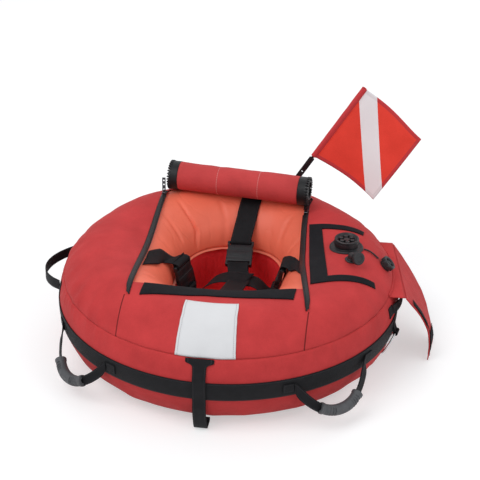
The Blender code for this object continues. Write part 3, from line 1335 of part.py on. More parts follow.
def make_flag():
    """The socket on the cover, the pole in it, and the flag on the pole."""
    crown = on_cover(POLE_FOOT[0], POLE_FOOT[1], DRAPE_GAP)
    up = cover_normal(POLE_FOOT[0], POLE_FOOT[1])

    def pad(u, v):
        x = POLE_FOOT[0] + (u - 0.5) * 2 * PAD_RADIUS
        y = POLE_FOOT[1] + (v - 0.5) * 2 * PAD_RADIUS
        return on_cover(x, y, DRAPE_GAP)
    socket = sheet("flag_socket", pad, (5, 5), PAD_THICKNESS, TAPE)
    boss = rod("socket_boss", BOSS_RADIUS, BOSS_HEIGHT,
               facing(crown + up * (BOSS_HEIGHT + PAD_THICKNESS) / 2, up), None, 20, True)
    wide = POLE_WIDTH + 2 * (SOCKET_WALL + SOCKET_CLEARANCE)
    deep = POLE_THICKNESS + 2 * (SOCKET_WALL + SOCKET_CLEARANCE)
    place, length = along_pole(SOCKET_FOOT, SOCKET_LENGTH)
    tower = block("socket_tower", (wide, deep, length), place, None, helper=True)
    place, length = along_pole(POLE_START - GAP, 2 * SOCKET_LENGTH)
    pocket = block("socket_pocket", (POLE_WIDTH + 2 * SOCKET_CLEARANCE,
                                     POLE_THICKNESS + 2 * SOCKET_CLEARANCE, length),
                   place, None, helper=True)
    unite(socket, boss, tower)
    cut(socket, pocket)
    place, length = along_pole(POLE_START, POLE_LENGTH)
    pole = block("flag_pole", (POLE_WIDTH, POLE_THICKNESS, length), place, HARD, POLE_ROUND)
    top = POLE_LENGTH + SLEEVE_RISE + SLEEVE_LENGTH
    place, length = along_pole(POLE_LENGTH - ROD_PLUG, top - SLEEVE_END)
    unite(pole, rod("flag_rod", ROD_RADIUS, length, place, None, 16, True))
    place, length = along_pole(SNAP_PLACE, SNAP_PLACE)
    cut(pole, rod("pole_hole", SNAP_RADIUS, 4 * POLE_THICKNESS,
                  place @ Matrix.Rotation(math.pi / 2, 4, "X"), None, 12, True))
    start = POLE_LENGTH + SLEEVE_RISE
    place, length = along_pole(start, top)
    flag = rod("flag", SLEEVE_RADIUS, length, place, CLOTH_RED, 16)
    across = Vector((math.cos(POLE_LEAN), 0, -math.sin(POLE_LEAN)))
    foot = Vector(POLE_FOOT) + POLE_ALONG * (start + GAP)
    inset = SLEEVE_RADIUS - FLAG_THICKNESS

    def cloth(u, v):
        spot = foot + POLE_ALONG * (SLEEVE_LENGTH - 2 * GAP) * v + across * (inset + FLAG_FLY * u)
        wave = 2 * math.pi * u * mix(*FLAG_WAVE_shares, v)
        sag = Vector((0, FLAG_CURL * math.sin(wave) * u, -FLAG_SAG * u * u))
        return spot + sag
    sail = sheet("flag_cloth", cloth, (6, 6), FLAG_THICKNESS, None, helper=True)
    sail.modifiers["Wall"].offset = 0.0
    unite(flag, sail)
    place, length = along_pole(start - SLEEVE_RISE, top - SLEEVE_END + GAP)
    cut(flag, rod("sleeve_bore", ROD_RADIUS + SLEEVE_CLEARANCE, length, place, None, 16, True))
    pivot(POLE_FOOT, "flag_pole", "flag")


TOP_PANEL = make_cover()
AIR_TUBE = make_air_tube()
VALVE_PORT = port_cutter("valve_port", VALVE_PLACE, VALVE_NECK_RADIUS + PORT_CLEARANCE)
make_front_panel()
make_front_fastener()
make_valve_fastener()
make_zip("left_zip", LEFT_EDGE, -1)
make_zip("right_zip", RIGHT_EDGE, 1)
make_slider("left", LEFT_EDGE, -1, LEFT_SLIDER_share, 0.0, LEFT_PULL_LEAN)
make_slider("right", RIGHT_EDGE, 1, RIGHT_SLIDER_share, RIGHT_LUG_TURN, RIGHT_PULL_LEAN)
make_roll()
make_inner_straps()
make_front_strap()
make_grips()
make_loop("left", LEFT_LOOP_TURN, LEFT_LOOP_REACH)
make_loop("right", RIGHT_LOOP_TURN, RIGHT_LOOP_REACH)
make_ring()
make_flap()
make_valve()
make_cap()
MOUTH = make_mouth_valve()
MOUTH_PORT = rod("mouth_port", ORAL_STEM_RADIUS + PORT_CLEARANCE, 2 * ORAL_NECK,
                 MOUTH @ Matrix.Translation((0, 0, -ORAL_NECK / 2)), None, 16, True)
cut(TOP_PANEL, VALVE_PORT, MOUTH_PORT)
cut(AIR_TUBE, VALVE_PORT, MOUTH_PORT)
make_flag()
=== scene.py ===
"""Looks of a round freediving float: fabric cover, air tube, rolled lid, straps, valves and flag.

Every size is in metres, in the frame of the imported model: the origin is the centre of the base on
the floor, and the front of the float is towards -Y.
"""

import logging
from collections.abc import Callable, Iterable, Sequence
from dataclasses import dataclass, field
from enum import Enum
from functools import reduce
from math import acos, asin, atan2, copysign, cos, dist, exp, expm1, hypot, pi, radians, sin, sqrt

import bmesh
import bpy
from mathutils import Matrix, Vector, noise


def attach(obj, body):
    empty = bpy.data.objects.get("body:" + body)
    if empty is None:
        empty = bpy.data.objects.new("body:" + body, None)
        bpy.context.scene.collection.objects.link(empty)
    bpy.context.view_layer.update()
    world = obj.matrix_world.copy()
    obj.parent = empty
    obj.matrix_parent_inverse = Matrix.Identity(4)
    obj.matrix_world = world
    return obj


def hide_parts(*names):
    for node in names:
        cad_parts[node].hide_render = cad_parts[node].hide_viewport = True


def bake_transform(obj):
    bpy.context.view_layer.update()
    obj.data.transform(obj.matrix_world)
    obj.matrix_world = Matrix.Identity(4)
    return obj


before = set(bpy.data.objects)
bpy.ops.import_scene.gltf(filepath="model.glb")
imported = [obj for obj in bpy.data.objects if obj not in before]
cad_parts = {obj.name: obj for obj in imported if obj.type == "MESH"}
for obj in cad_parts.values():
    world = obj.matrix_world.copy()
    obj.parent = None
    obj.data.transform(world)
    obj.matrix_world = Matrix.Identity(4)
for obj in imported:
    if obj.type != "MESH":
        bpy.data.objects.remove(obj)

LOG = logging.getLogger("dive_float")
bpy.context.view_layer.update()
TAU = 2 * pi
STITCH_PITCH = 0.0042

Colour = tuple[float, float, float]
Place = Callable[[float, float], Vector]
Pair = tuple[float, float]
Triple = tuple[float, float, float]
Row = tuple[Vector, Vector]


# Shader expressions


class Signal:
    """A socket's value in a shader, with arithmetic that adds Math nodes."""

    def __init__(self, sheet: "NodeSheet", socket: bpy.types.NodeSocket) -> None:
        """Wrap one output socket of a node sheet."""
        self.sheet = sheet
        self.socket = socket

    def math(self, operation: str, *others: "Signal | float", clamp: bool = False) -> "Signal":
        """Add a Math node.

        Args:
            operation: the node's operation.
            others: its other inputs, in order.
            clamp: whether the result stays between 0 and 1.
        Returns:
            The node's value.
        """
        return self.sheet.signal("ShaderNodeMath", {"operation": operation, "use_clamp": clamp},
                                 dict(enumerate((self, *others))))

    def __add__(self, other: "Signal | float") -> "Signal":
        """Sum."""
        return self.math("ADD", other)

    __radd__ = __add__

    def __sub__(self, other: "Signal | float") -> "Signal":
        """Difference."""
        return self.math("SUBTRACT", other)

    def __rsub__(self, other: float) -> "Signal":
        """Difference from a number."""
        return (self * -1.0) + other

    def __mul__(self, other: "Signal | float") -> "Signal":
        """Product."""
        return self.math("MULTIPLY", other)

    __rmul__ = __mul__

    def __truediv__(self, other: "Signal | float") -> "Signal":
        """Quotient."""
        return self.math("DIVIDE", other)

    def __abs__(self) -> "Signal":
        """Size without its sign."""
        return self.math("ABSOLUTE")

    def sine(self) -> "Signal":
        """Sine of an angle in radians."""
        return self.math("SINE")

    def above(self, other: "Signal | float") -> "Signal":
        """1 where the value is larger, else 0."""
        return self.math("GREATER_THAN", other)

    def clamped(self) -> "Signal":
        """The value held between 0 and 1."""
        return self.math("ADD", 0.0, clamp=True)

    def fade(self, low: float, high: float) -> "Signal":
        """A smooth step from 0 at low to 1 at high, which may be the smaller of the two."""
        return self.sheet.signal("ShaderNodeMapRange", {"interpolation_type": "SMOOTHSTEP"},
                                 {"Value": self, "From Min": low, "From Max": high})


class NodeSheet:
    """One material's nodes, round a Principled shader."""

    def __init__(self, name: str) -> None:
        """Start a material with a bare Principled shader.

        Args:
            name: the material's name.
        """
        self.material = bpy.data.materials.new(name)
        self.material.use_nodes = True
        self.tree = self.material.node_tree
        self.shader = self.tree.nodes["Principled BSDF"]
        self._coordinates: bpy.types.Node | None = None

    def node(self, kind: str, settings: dict[str, object],
             sockets: dict[str | int, "Signal | float | Sequence[float]"]) -> bpy.types.Node:
        """Add a node.

        Args:
            kind: its type's name.
            settings: its properties, set first.
            sockets: the values or links of its input sockets.
        Returns:
            The node.
        """
        made = self.tree.nodes.new(kind)
        for key, value in settings.items():
            setattr(made, key, value)
        for key, value in sockets.items():
            if isinstance(value, Signal):
                self.tree.links.new(value.socket, made.inputs[key])
            else:
                made.inputs[key].default_value = value
        return made

    def signal(self, kind: str, settings: dict[str, object],
               sockets: dict[str | int, "Signal | float | Sequence[float]"],
               output: str | int = 0) -> Signal:
        """Add a node, as node does, and return one of its outputs."""
        return Signal(self, self.node(kind, settings, sockets).outputs[output])

    def rays(self, *kinds: str) -> list[Signal]:
        """Whether a ray is of each of these kinds."""
        path = self.node("ShaderNodeLightPath", {}, {})
        return [Signal(self, path.outputs[kind]) for kind in kinds]

    def coordinates(self, kind: str) -> Signal:
        """The Object or UV coordinates of the piece."""
        if self._coordinates is None:
            self._coordinates = self.node("ShaderNodeTexCoord", {}, {})
        return Signal(self, self._coordinates.outputs[kind])

    def axes(self, vector: Signal) -> tuple[Signal, Signal, Signal]:
        """The three numbers of a vector."""
        node = self.node("ShaderNodeSeparateXYZ", {}, {0: vector})
        return tuple(Signal(self, node.outputs[i]) for i in range(3))

    def clouds(self, vector: Signal, scale: float, detail: float = 2.0,
               roughness: float = 0.5, stretch: Triple = (1.0, 1.0, 1.0)) -> Signal:
        """Soft noise round 0.5.

        Args:
            vector: where it is read.
            scale: features in a metre.
            detail: finer layers.
            roughness: their weight.
            stretch: its scale along each axis.
        Returns:
            The noise.
        """
        if stretch != (1.0, 1.0, 1.0):
            vector = self.signal("ShaderNodeMapping", {}, {"Vector": vector, "Scale": stretch})
        return self.signal("ShaderNodeTexNoise", {"noise_dimensions": "3D"},
                           {"Vector": vector, "Scale": scale, "Detail": detail, "Roughness": roughness})

    def edge_distance(self) -> Signal:
        """How far inside its sheet's edge a place is."""
        return self.signal("ShaderNodeAttribute", {"attribute_name": "edge"}, {}, "Fac")

    def stitches(self, inset: float) -> Signal:
        """A row of stitches at a distance inside a sheet's edge, 1 on the thread and 0 beside it."""
        across, along, _ = self.axes(self.coordinates("UV"))
        row = abs(self.edge_distance() - inset).fade(0.0008, 0.0003)
        return row * ((across + along) * (TAU / STITCH_PITCH)).sine().fade(-0.8, -0.4)

    def blend(self, share: Signal, low: "Signal | Colour", high: "Signal | Colour") -> Signal:
        """A colour between two others."""
        ends = [end if isinstance(end, Signal) else (*end, 1.0) for end in (low, high)]
        return self.signal("ShaderNodeMix", {"data_type": "RGBA"},
                           {0: share, 6: ends[0], 7: ends[1]}, 2)

    def relief(self, height: Signal, depth: float, strength: float = 1.0,
               over: Signal | None = None) -> Signal:
        """A bumped normal.

        Args:
            height: the relief, from 0 to 1.
            depth: its depth in metres.
            strength: how much of it shows.
            over: a normal that it lies on.
        Returns:
            The normal.
        """
        sockets: dict[str | int, Signal | float] = {"Height": height, "Distance": depth,
                                                    "Strength": strength}
        if over is not None:
            sockets["Normal"] = over
        return self.signal("ShaderNodeBump", {}, sockets)

    def put(self, **inputs: "Signal | float | Colour") -> None:
        """Set or link the shader's inputs, with _ for a space in their names."""
        for key, value in inputs.items():
            socket = self.shader.inputs[key.replace("_", " ")]
            if isinstance(value, Signal):
                self.tree.links.new(value.socket, socket)
            elif isinstance(value, tuple) and len(value) == 3 and len(socket.default_value) == 4:
                socket.default_value = (*value, 1.0)
            else:
                socket.default_value = value


class WorldSheet(NodeSheet):
    """The nodes of the scene's world."""

    def __init__(self, name: str) -> None:
        """Start a world with no nodes, and give it to the scene.

        Args:
            name: the world's name.
        """
        world = bpy.data.worlds.new(name)
        world.use_nodes = True
        bpy.context.scene.world = world
        self.tree = world.node_tree
        self.tree.nodes.clear()


# Finishes


def toned(colour: Colour, gain: float, lift: float = 0.0) -> Colour:
    """A colour made darker or lighter."""
    return tuple(min(1.0, c * gain + lift) for c in colour)


@dataclass(frozen=True)
class Finish:
    """A surface finish, with the name of its slot."""

    name: str
    slot: str
    colour: Colour

    def make(self) -> bpy.types.Material:
        """The finish's material, made once."""
        found = bpy.data.materials.get(self.name)
        if found:
            return found
        sheet = NodeSheet(self.name)
        self.paint(sheet)
        return sheet.material

    def paint(self, sheet: NodeSheet) -> None:
        """Wire the material."""
        sheet.put(Base_Color=self.colour)

    def shades(self, sheet: NodeSheet, share: Signal, low: float, high: float, lift: float) -> Signal:
        """The colour from its darkest to its lightest tone.

        Args:
            sheet: the material's nodes.
            share: where each tone shows, from 0 to 1.
            low: the darkest tone's gain.
            high: the lightest tone's gain.
            lift: what is added to the lightest tone.
        Returns:
            The colour.
        """
        return sheet.blend(share.clamped(), toned(self.colour, low), toned(self.colour, high, lift))


@dataclass(frozen=True)
class WovenCloth(Finish):
    """Woven cloth on UVs in metres: threads, soft mottling and a dry sheen."""

    thread: float = 0.0011
    thread_depth: float = 0.00012
    thread_strength: float = 0.8
    mottle: float = 0.14
    mottle_scale: float = 16.0
    speckle_scale: float = 420.0
    roughness: float = 0.72
    shine: float = 0.15
    sheen: float = 0.03
    sheen_tint: Colour = (1.0, 0.75, 0.72)
    crumple: float = 0.0018
    crumple_scale: float = 22.0

    def tint(self, sheet: NodeSheet, where: Signal) -> Signal:
        """The cloth's colour, mottled at two sizes."""
        large = sheet.clouds(where, self.mottle_scale, 3.0, 0.55)
        fine = sheet.clouds(where, self.speckle_scale, 2.0, 0.6)
        share = (large - 0.5) * 1.6 + (fine - 0.5) * 0.7 + 0.5
        return self.shades(sheet, share, 1 - self.mottle, 1 + self.mottle, 0.004)

    def woven(self, sheet: NodeSheet, where: Signal) -> Signal:
        """The normal of a plain weave, threads over and under each other, on crumpled cloth."""
        across, along, _ = sheet.axes(sheet.coordinates("UV"))
        rate = TAU / self.thread
        weave = ((across * rate).sine() * (along * rate).sine() + 1.0) * 0.5
        soft = None
        if self.crumple:
            soft = sheet.relief(sheet.clouds(where, self.crumple_scale, 3.0, 0.5), self.crumple)
        return sheet.relief(weave, self.thread_depth, self.thread_strength, soft)

    def worked(self, sheet: NodeSheet, tone: Signal, normal: Signal) -> tuple[Signal, Signal]:
        """The tone and the normal with what is sewn on the cloth; plain cloth has nothing."""
        return tone, normal

    def paint(self, sheet: NodeSheet) -> None:
        """Wire the cloth and what is sewn on it."""
        where = sheet.coordinates("Object")
        tone, normal = self.worked(sheet, self.tint(sheet, where), self.woven(sheet, where))
        sheet.put(Base_Color=tone, Normal=normal, Roughness=self.roughness,
                  Specular_IOR_Level=self.shine, Sheen_Weight=self.sheen, Sheen_Roughness=0.5,
                  Sheen_Tint=self.sheen_tint)


@dataclass(frozen=True)
class SeamedCloth(WovenCloth):
    """Cover cloth with radial panel seams, each drawn in plan from the zip's end outwards."""

    seams: tuple[tuple[Pair, Pair], ...] = ()
    seam_width: float = 0.0016
    seam_depth: float = 0.0015
    seam_gain: float = 0.32

    def worked(self, sheet: NodeSheet, tone: Signal, normal: Signal) -> tuple[Signal, Signal]:
        """The cloth with its sunken seams."""
        x, y, _ = sheet.axes(sheet.coordinates("Object"))
        drawn = []
        for (x0, y0), (x1, y1) in self.seams:
            length = hypot(x1 - x0, y1 - y0)
            dx, dy = (x1 - x0) / length, (y1 - y0) / length
            away = abs((x - x0) * dy - (y - y0) * dx)
            past = (x - x0) * dx + (y - y0) * dy
            drawn.append(away.fade(self.seam_width, self.seam_width * 0.3) * past.above(0.0))
        lines = reduce(lambda one, other: one.math("MAXIMUM", other), drawn)
        return (sheet.blend(lines, tone, toned(self.colour, self.seam_gain)),
                sheet.relief(1 - lines, self.seam_depth, 1.0, normal))


@dataclass(frozen=True)
class Webbing(Finish):
    """Ribbed webbing on UVs in metres, u across and v along."""

    rib: float = 0.0017
    depth: float = 0.00025
    wear_scale: float = 60.0
    roughness: float = 0.62
    shine: float = 0.16
    sheen: float = 0.02
    stitch_inset: float = 0.0

    def paint(self, sheet: NodeSheet) -> None:
        """Wire the ribs, the broken twill along them and the stitches near the edges."""
        across, along, _ = sheet.axes(sheet.coordinates("UV"))
        rate = TAU / self.rib
        ribs = ((across * rate + (along * rate).sine() * 0.9).sine() + 1) * 0.5
        picks = ((along * (TAU / (0.62 * self.rib))).sine() + 1) * 0.5
        height = ribs * 0.6 + picks * 0.4
        wear = sheet.clouds(sheet.coordinates("Object"), self.wear_scale, 3.0)
        # The tone is partly random wear and partly painted shade: darker in the grooves between the
        # ribs and lighter on their tops.
        tone = self.shades(sheet, (wear - 0.35) * 0.9 + height * 0.25, 0.62, 1.5, 0.001)
        normal = sheet.relief(height, self.depth)
        if self.stitch_inset:
            rows = sheet.stitches(self.stitch_inset)
            tone = sheet.blend(rows, tone, toned(self.colour, 2.6, 0.006))
            normal = sheet.relief(rows, 0.0004, 1.0, normal)
        sheet.put(Base_Color=tone, Roughness=self.roughness, Normal=normal,
                  Specular_IOR_Level=self.shine, Sheen_Weight=self.sheen, Sheen_Roughness=0.4)


@dataclass(frozen=True)
class HookPile(Finish):
    """The short pile of a hook-and-loop strip."""

    pile: float = 900.0
    patch_scale: float = 45.0
    depth: float = 0.0007

    def paint(self, sheet: NodeSheet) -> None:
        """Wire the pile's tufts and its worn patches."""
        where = sheet.coordinates("Object")
        tufts = sheet.clouds(where, self.pile, 3.0, 0.7)
        patches = sheet.clouds(where, self.patch_scale, 3.0)
        # The tone is partly random worn patches and partly painted light and shade: lighter on the
        # higher tufts and darker between them.
        tone = self.shades(sheet, tufts * 0.7 + patches * 0.5 - 0.3, 0.5, 1.7, 0.002)
        sheet.put(Base_Color=tone, Roughness=0.95, Specular_IOR_Level=0.1,
                  Normal=sheet.relief(tufts, self.depth), Sheen_Weight=0.04, Sheen_Roughness=0.6)


@dataclass(frozen=True)
class CoatedSkin(Finish):
    """The air tube's coated fabric: smooth, slightly waxy, with faint creases."""

    roughness: float = 0.48
    broad_scale: float = 9.0
    crease_scale: float = 15.0
    crease_depth: float = 0.0007
    grain: float = 1600.0
    grain_depth: float = 0.00008

    def paint(self, sheet: NodeSheet) -> None:
        """Wire its broad tone changes, creases and fine grain."""
        where = sheet.coordinates("Object")
        broad = sheet.clouds(where, self.broad_scale, 2.0)
        lines = sheet.clouds(where, self.crease_scale, 3.0, 0.45, (1.0, 1.0, 0.35))
        creases = sheet.relief(abs(lines - 0.5).fade(0.0, 0.05), self.crease_depth, 0.5)
        grain = sheet.clouds(where, self.grain, 1.0)
        sheet.put(Base_Color=self.shades(sheet, broad * 1.4 - 0.2, 0.82, 1.08, 0.01),
                  Roughness=grain * 0.14 + self.roughness - 0.07, Specular_IOR_Level=0.4,
                  Normal=sheet.relief(grain, self.grain_depth, 0.6, creases))


@dataclass(frozen=True)
class Moulded(Finish):
    """Moulded plastic or rubber with a fine spark-eroded grain."""

    roughness: float = 0.42
    grain: float = 1400.0
    grain_depth: float = 0.00006
    mark_scale: float = 70.0

    def paint(self, sheet: NodeSheet) -> None:
        """Wire the grain, handling marks and a little dust in the tone."""
        where = sheet.coordinates("Object")
        grain = sheet.clouds(where, self.grain, 2.0, 0.6)
        marks = sheet.clouds(where, self.mark_scale, 4.0, 0.6)
        sheet.put(Base_Color=self.shades(sheet, marks * 1.6 - 0.35, 0.75, 1.3, 0.001),
                  Roughness=marks * 0.22 + self.roughness - 0.11,
                  Normal=sheet.relief(grain, self.grain_depth, 0.7))


@dataclass(frozen=True)
class Metal(Finish):
    """Polished or blackened metal with fine scratches."""

    roughness: float = 0.18
    scratch_scale: float = 260.0
    scratch_depth: float = 0.00003
    polish_scale: float = 60.0

    def paint(self, sheet: NodeSheet) -> None:
        """Wire the scratches and the uneven polish."""
        where = sheet.coordinates("Object")
        scratches = sheet.clouds(where, self.scratch_scale, 3.0, 0.7, (1.0, 1.0, 9.0))
        polish = sheet.clouds(where, self.polish_scale, 2.0)
        sheet.put(Base_Color=sheet.blend(scratches, self.colour, toned(self.colour, 0.8)),
                  Metallic=1.0, Roughness=polish * 0.16 + self.roughness - 0.06,
                  Normal=sheet.relief(scratches, self.scratch_depth, 0.6))


@dataclass(frozen=True)
class HemmedCloth(WovenCloth):
    """Cloth with a folded hem and a row of stitches inside its edge."""

    hem: float = 0.008
    hem_depth: float = 0.0008
    thread_colour: Colour = (0.3, 0.03, 0.035)

    def worked(self, sheet: NodeSheet, tone: Signal, normal: Signal) -> tuple[Signal, Signal]:
        """The cloth with its hem's step and the stitches."""
        rows = sheet.stitches(self.hem)
        step = sheet.edge_distance().fade(self.hem + 0.0022, self.hem + 0.001)
        return (sheet.blend(rows, tone, self.thread_colour),
                sheet.relief(step * 0.7 - rows * 0.5, self.hem_depth, 1.0, normal))


@dataclass(frozen=True)
class StitchedLid(WovenCloth):
    """The lid's cloth, with stitch lines across it at shares of its length."""

    length: float = 0.3
    stitch_shares: tuple[float, ...] = (0.335, 0.678)
    stitch_depth: float = 0.0004
    thread_colour: Colour = (0.72, 0.3, 0.28)

    def worked(self, sheet: NodeSheet, tone: Signal, normal: Signal) -> tuple[Signal, Signal]:
        """The cloth with its rows of pale stitches."""
        across, along, _ = sheet.axes(sheet.coordinates("UV"))
        rows = sum(abs(across - share * self.length).fade(0.00085, 0.0004)
                   for share in self.stitch_shares)
        stitches = rows * (along * (TAU / STITCH_PITCH)).sine().fade(-0.75, -0.3)
        return (sheet.blend(stitches, tone, self.thread_colour),
                sheet.relief(stitches, self.stitch_depth, 1.0, normal))


@dataclass(frozen=True)
class StripedFlag(WovenCloth):
    """Flag cloth whose white stripe runs corner to corner, on UVs that are shares of the cloth."""

    thread_strength: float = 0.3
    crumple: float = 0.0
    white: Colour = (0.96, 0.93, 0.94)
    stripe_shares: Pair = (0.86, 1.19)
    hem_share: float = 0.045
    hem_depth: float = -0.0005
    sleeve_colour: Colour = (0.62, 0.055, 0.06)

    def worked(self, sheet: NodeSheet, tone: Signal, normal: Signal) -> tuple[Signal, Signal]:
        """The cloth with its stripe, edge stitches, hems and the sleeve's darker double cloth."""
        fly, hoist, _ = sheet.axes(sheet.coordinates("UV"))
        low, high = self.stripe_shares
        diagonal, sail = fly + hoist, fly.above(0.0)
        stripe = diagonal.above(low) * (1 - diagonal.above(high)) * sail
        edge = (abs(diagonal - low).fade(0.012, 0.004)
                + abs(diagonal - high).fade(0.012, 0.004)) * sail
        margin = (1 - fly).math("MINIMUM", (1 - hoist).math("MINIMUM", hoist))
        hem = margin.fade(self.hem_share + 0.006, self.hem_share - 0.006)
        thread = abs(margin - self.hem_share * 0.8).fade(0.008, 0.003)
        red = sheet.blend(1 - sail, sheet.blend(hem, tone, self.sleeve_colour), self.sleeve_colour)
        pale = sheet.blend(hem * 0.5 + thread * 0.3, self.white, toned(self.white, 0.86))
        height = (1 - hem) * 0.2 + thread * 0.3 + edge * 0.5
        return (sheet.blend(stripe, red, pale), sheet.relief(height, self.hem_depth, 0.8, normal))


class Finishes:
    """Every finish of the float."""

    SEAMS = (((-0.1848, -0.268), (-0.188, -0.337)), ((0.2241, -0.25), (0.2254, -0.3157)))
    RED = (0.555, 0.044, 0.045)
    COVER = WovenCloth("red_cover_cloth", "cover_fabric", RED)
    TOP = SeamedCloth("red_top_cloth", "cover_fabric", RED, seams=SEAMS)
    LINING = WovenCloth("deep_red_lining_cloth", "lining_fabric", (0.82, 0.034, 0.04), sheen=0.02)
    LID = StitchedLid("red_lid_cloth", "cover_fabric", (0.56, 0.058, 0.058))
    SKIN = CoatedSkin("orange_coated_skin", "coated_fabric", (0.97, 0.18, 0.1))
    FLAG = StripedFlag("striped_flag_weave", "flag_cloth", (0.95, 0.066, 0.042), thread=0.0007)
    RIM = CoatedSkin("pale_welded_rim", "coated_fabric", (0.86, 0.22, 0.14), roughness=0.42)
    WHITE = HemmedCloth("white_panel_weave", "white_cloth", (0.74, 0.74, 0.75), mottle=0.03, sheen=0.0,
                        thread_depth=0.00008, crumple=0.0006, hem=0.005,
                        thread_colour=(0.45, 0.45, 0.46))
    HEMMED = HemmedCloth("hemmed_red_cloth", "cover_fabric", RED)
    STITCHED_WEBBING = Webbing("black_webbing_weave", "webbing", (0.011, 0.011, 0.013),
                               stitch_inset=0.0028)
    ZIP = Webbing("coated_zip_tape", "webbing", (0.011, 0.0115, 0.013), rib=0.001, depth=0.00012,
                  roughness=0.38, shine=0.32)
    PILE = HookPile("black_hook_pile", "webbing", (0.009, 0.009, 0.012))
    PLASTIC = Moulded("black_moulded_plastic", "black_plastic", (0.01, 0.01, 0.012))
    RUBBER = Moulded("black_soft_moulding", "black_plastic", (0.016, 0.016, 0.018), roughness=0.5,
                     grain=900.0, grain_depth=0.0001)
    GRIP = Moulded("grey_grip_rubber", "grey_rubber", (0.078, 0.08, 0.086), roughness=0.5,
                   grain=700.0, grain_depth=0.00012)
    STEEL = Metal("bright_ring_steel", "steel", (0.66, 0.66, 0.67))
    GUNMETAL = Metal("blackened_slider_metal", "steel", (0.1, 0.1, 0.11), roughness=0.28)


# Mesh building


class Side(Enum):
    """Which way a wall's thickness goes from its sheet."""

    OUT = 1.0
    BOTH = 0.0
    IN = -1.0


def mix(a: float, b: float, share: float) -> float:
    """The value that lies this share of the way from a to b."""
    return a + (b - a) * share


def clip(value: float) -> float:
    """The value held between 0 and 1."""
    return min(1.0, max(0.0, value))


def bell(distance: float, width: float) -> float:
    """A smooth hump, 1 at no distance."""
    return exp(-(distance / width) ** 2)


def wobble(x: float, y: float, z: float, scale: float) -> float:
    """Soft noise between -1 and 1 at so many features in a metre."""
    return noise.noise(Vector((x * scale, y * scale, z * scale)))


def smooth_point(points: Sequence[Vector], share: float) -> Vector:
    """A point on the smooth curve through the points, at a share of its way."""
    spans = len(points) - 1
    index = min(int(share * spans), spans - 1)
    t = share * spans - index
    p = [Vector(points[max(0, min(spans, index + k))]) for k in (-1, 0, 1, 2)]
    return 0.5 * ((2 * p[1]) + (p[2] - p[0]) * t + (2 * p[0] - 5 * p[1] + 4 * p[2] - p[3]) * t ** 2
                  + (3 * p[1] - p[0] - 3 * p[2] + p[3]) * t ** 3)


def length_of(path: Sequence[Vector]) -> float:
    """The length of the straight spans between the points of a path."""
    return sum((b - a).length for a, b in zip(path, path[1:]))


def shift(x: float, y: float, z: float) -> Matrix:
    """A placing matrix that only moves."""
    return Matrix.Translation((x, y, z))


def turns(count: int, start: float = 0.0, first: float = 0.0) -> list[Matrix]:
    """Turns about Z, evenly spaced.

    Args:
        count: how many.
        start: an angle that all of them have.
        first: the first one's place, in spaces between them.
    Returns:
        The turns.
    """
    return [Matrix.Rotation(TAU * (index + first) / count + start, 4, "Z") for index in range(count)]


def frame_at(origin: Sequence[float], x_axis: Sequence[float], y_axis: Sequence[float]) -> Matrix:
    """A placing matrix with X along x_axis and Y as near y_axis as it can be."""
    x = Vector(x_axis).normalized()
    z = x.cross(Vector(y_axis)).normalized()
    y = z.cross(x)
    return Matrix.Translation(Vector(origin)) @ Matrix((x, y, z)).transposed().to_4x4()


def facing(origin: Sequence[float], along: Sequence[float]) -> Matrix:
    """A placing matrix with its Z along a direction."""
    turn = Vector(along).to_track_quat("Z", "Y").to_matrix().to_4x4()
    return Matrix.Translation(Vector(origin)) @ turn


def polar(radius: float, turn: float, height: float) -> Vector:
    """A point at a radius and turn about the float's axis."""
    return Vector((radius * cos(turn), radius * sin(turn), height))


def laid(place: Place, cells: tuple[int, int], spans: Pair) -> bmesh.types.BMesh:
    """A grid sheet.

    Args:
        place: where the corner at shares u and v goes.
        cells: its faces across and along.
        spans: its size across and along, for its UVs.
    Returns:
        The sheet, with UVs.
    """
    shape = bmesh.new()
    bmesh.ops.create_grid(shape, x_segments=cells[0], y_segments=cells[1], size=0.5)
    chart = shape.loops.layers.uv.new("UVMap")
    for face in shape.faces:
        for corner in face.loops:
            x, y, _ = corner.vert.co
            corner[chart].uv = ((x + 0.5) * spans[0], (y + 0.5) * spans[1])
    for vert in shape.verts:
        vert.co = place(vert.co.x + 0.5, vert.co.y + 0.5)
    return shape


def spun(place: Place, rings: int, columns: int,
         chart_of: Callable[[float, float, Vector], Pair]) -> bmesh.types.BMesh:
    """A sheet that closes round the float's axis.

    Args:
        place: where the corner at a turn and a share across goes.
        rings: its faces across.
        columns: its faces round.
        chart_of: the UV of a corner, from its turn, share and place.
    Returns:
        The sheet, with UVs.
    """
    shape = bmesh.new()
    line = [shape.verts.new((1 + i / rings, 0, 0)) for i in range(rings + 1)]
    edges = [shape.edges.new(pair) for pair in zip(line, line[1:])]
    bmesh.ops.spin(shape, geom=line + edges, cent=(0, 0, 0), axis=(0, 0, 1), angle=TAU,
                   steps=columns, use_merge=True)
    bmesh.ops.remove_doubles(shape, verts=shape.verts, dist=1e-5)
    chart = shape.loops.layers.uv.new("UVMap")
    shares = {}
    for vert in shape.verts:
        share = round((hypot(vert.co.x, vert.co.y) - 1) * rings) / rings
        shares[vert] = (atan2(vert.co.y, vert.co.x), share)
    middles = {face: atan2(*face.calc_center_median().yx) for face in shape.faces}
    for vert, (turn, share) in shares.items():
        vert.co = place(turn, share)
    for face, middle in middles.items():
        for corner in face.loops:
            turn, share = shares[corner.vert]
            turn += TAU * round((middle - turn) / TAU)
            corner[chart].uv = chart_of(turn, share, corner.vert.co)
    return shape


def upwards(spot: Vector) -> Vector:
    """The way out of a sheet that lies on the top."""
    return Vector((0, 0, 1))


def sideways(spot: Vector) -> Vector:
    """The way out of a sheet that stands on the side."""
    return Vector((spot.x, spot.y, 0))


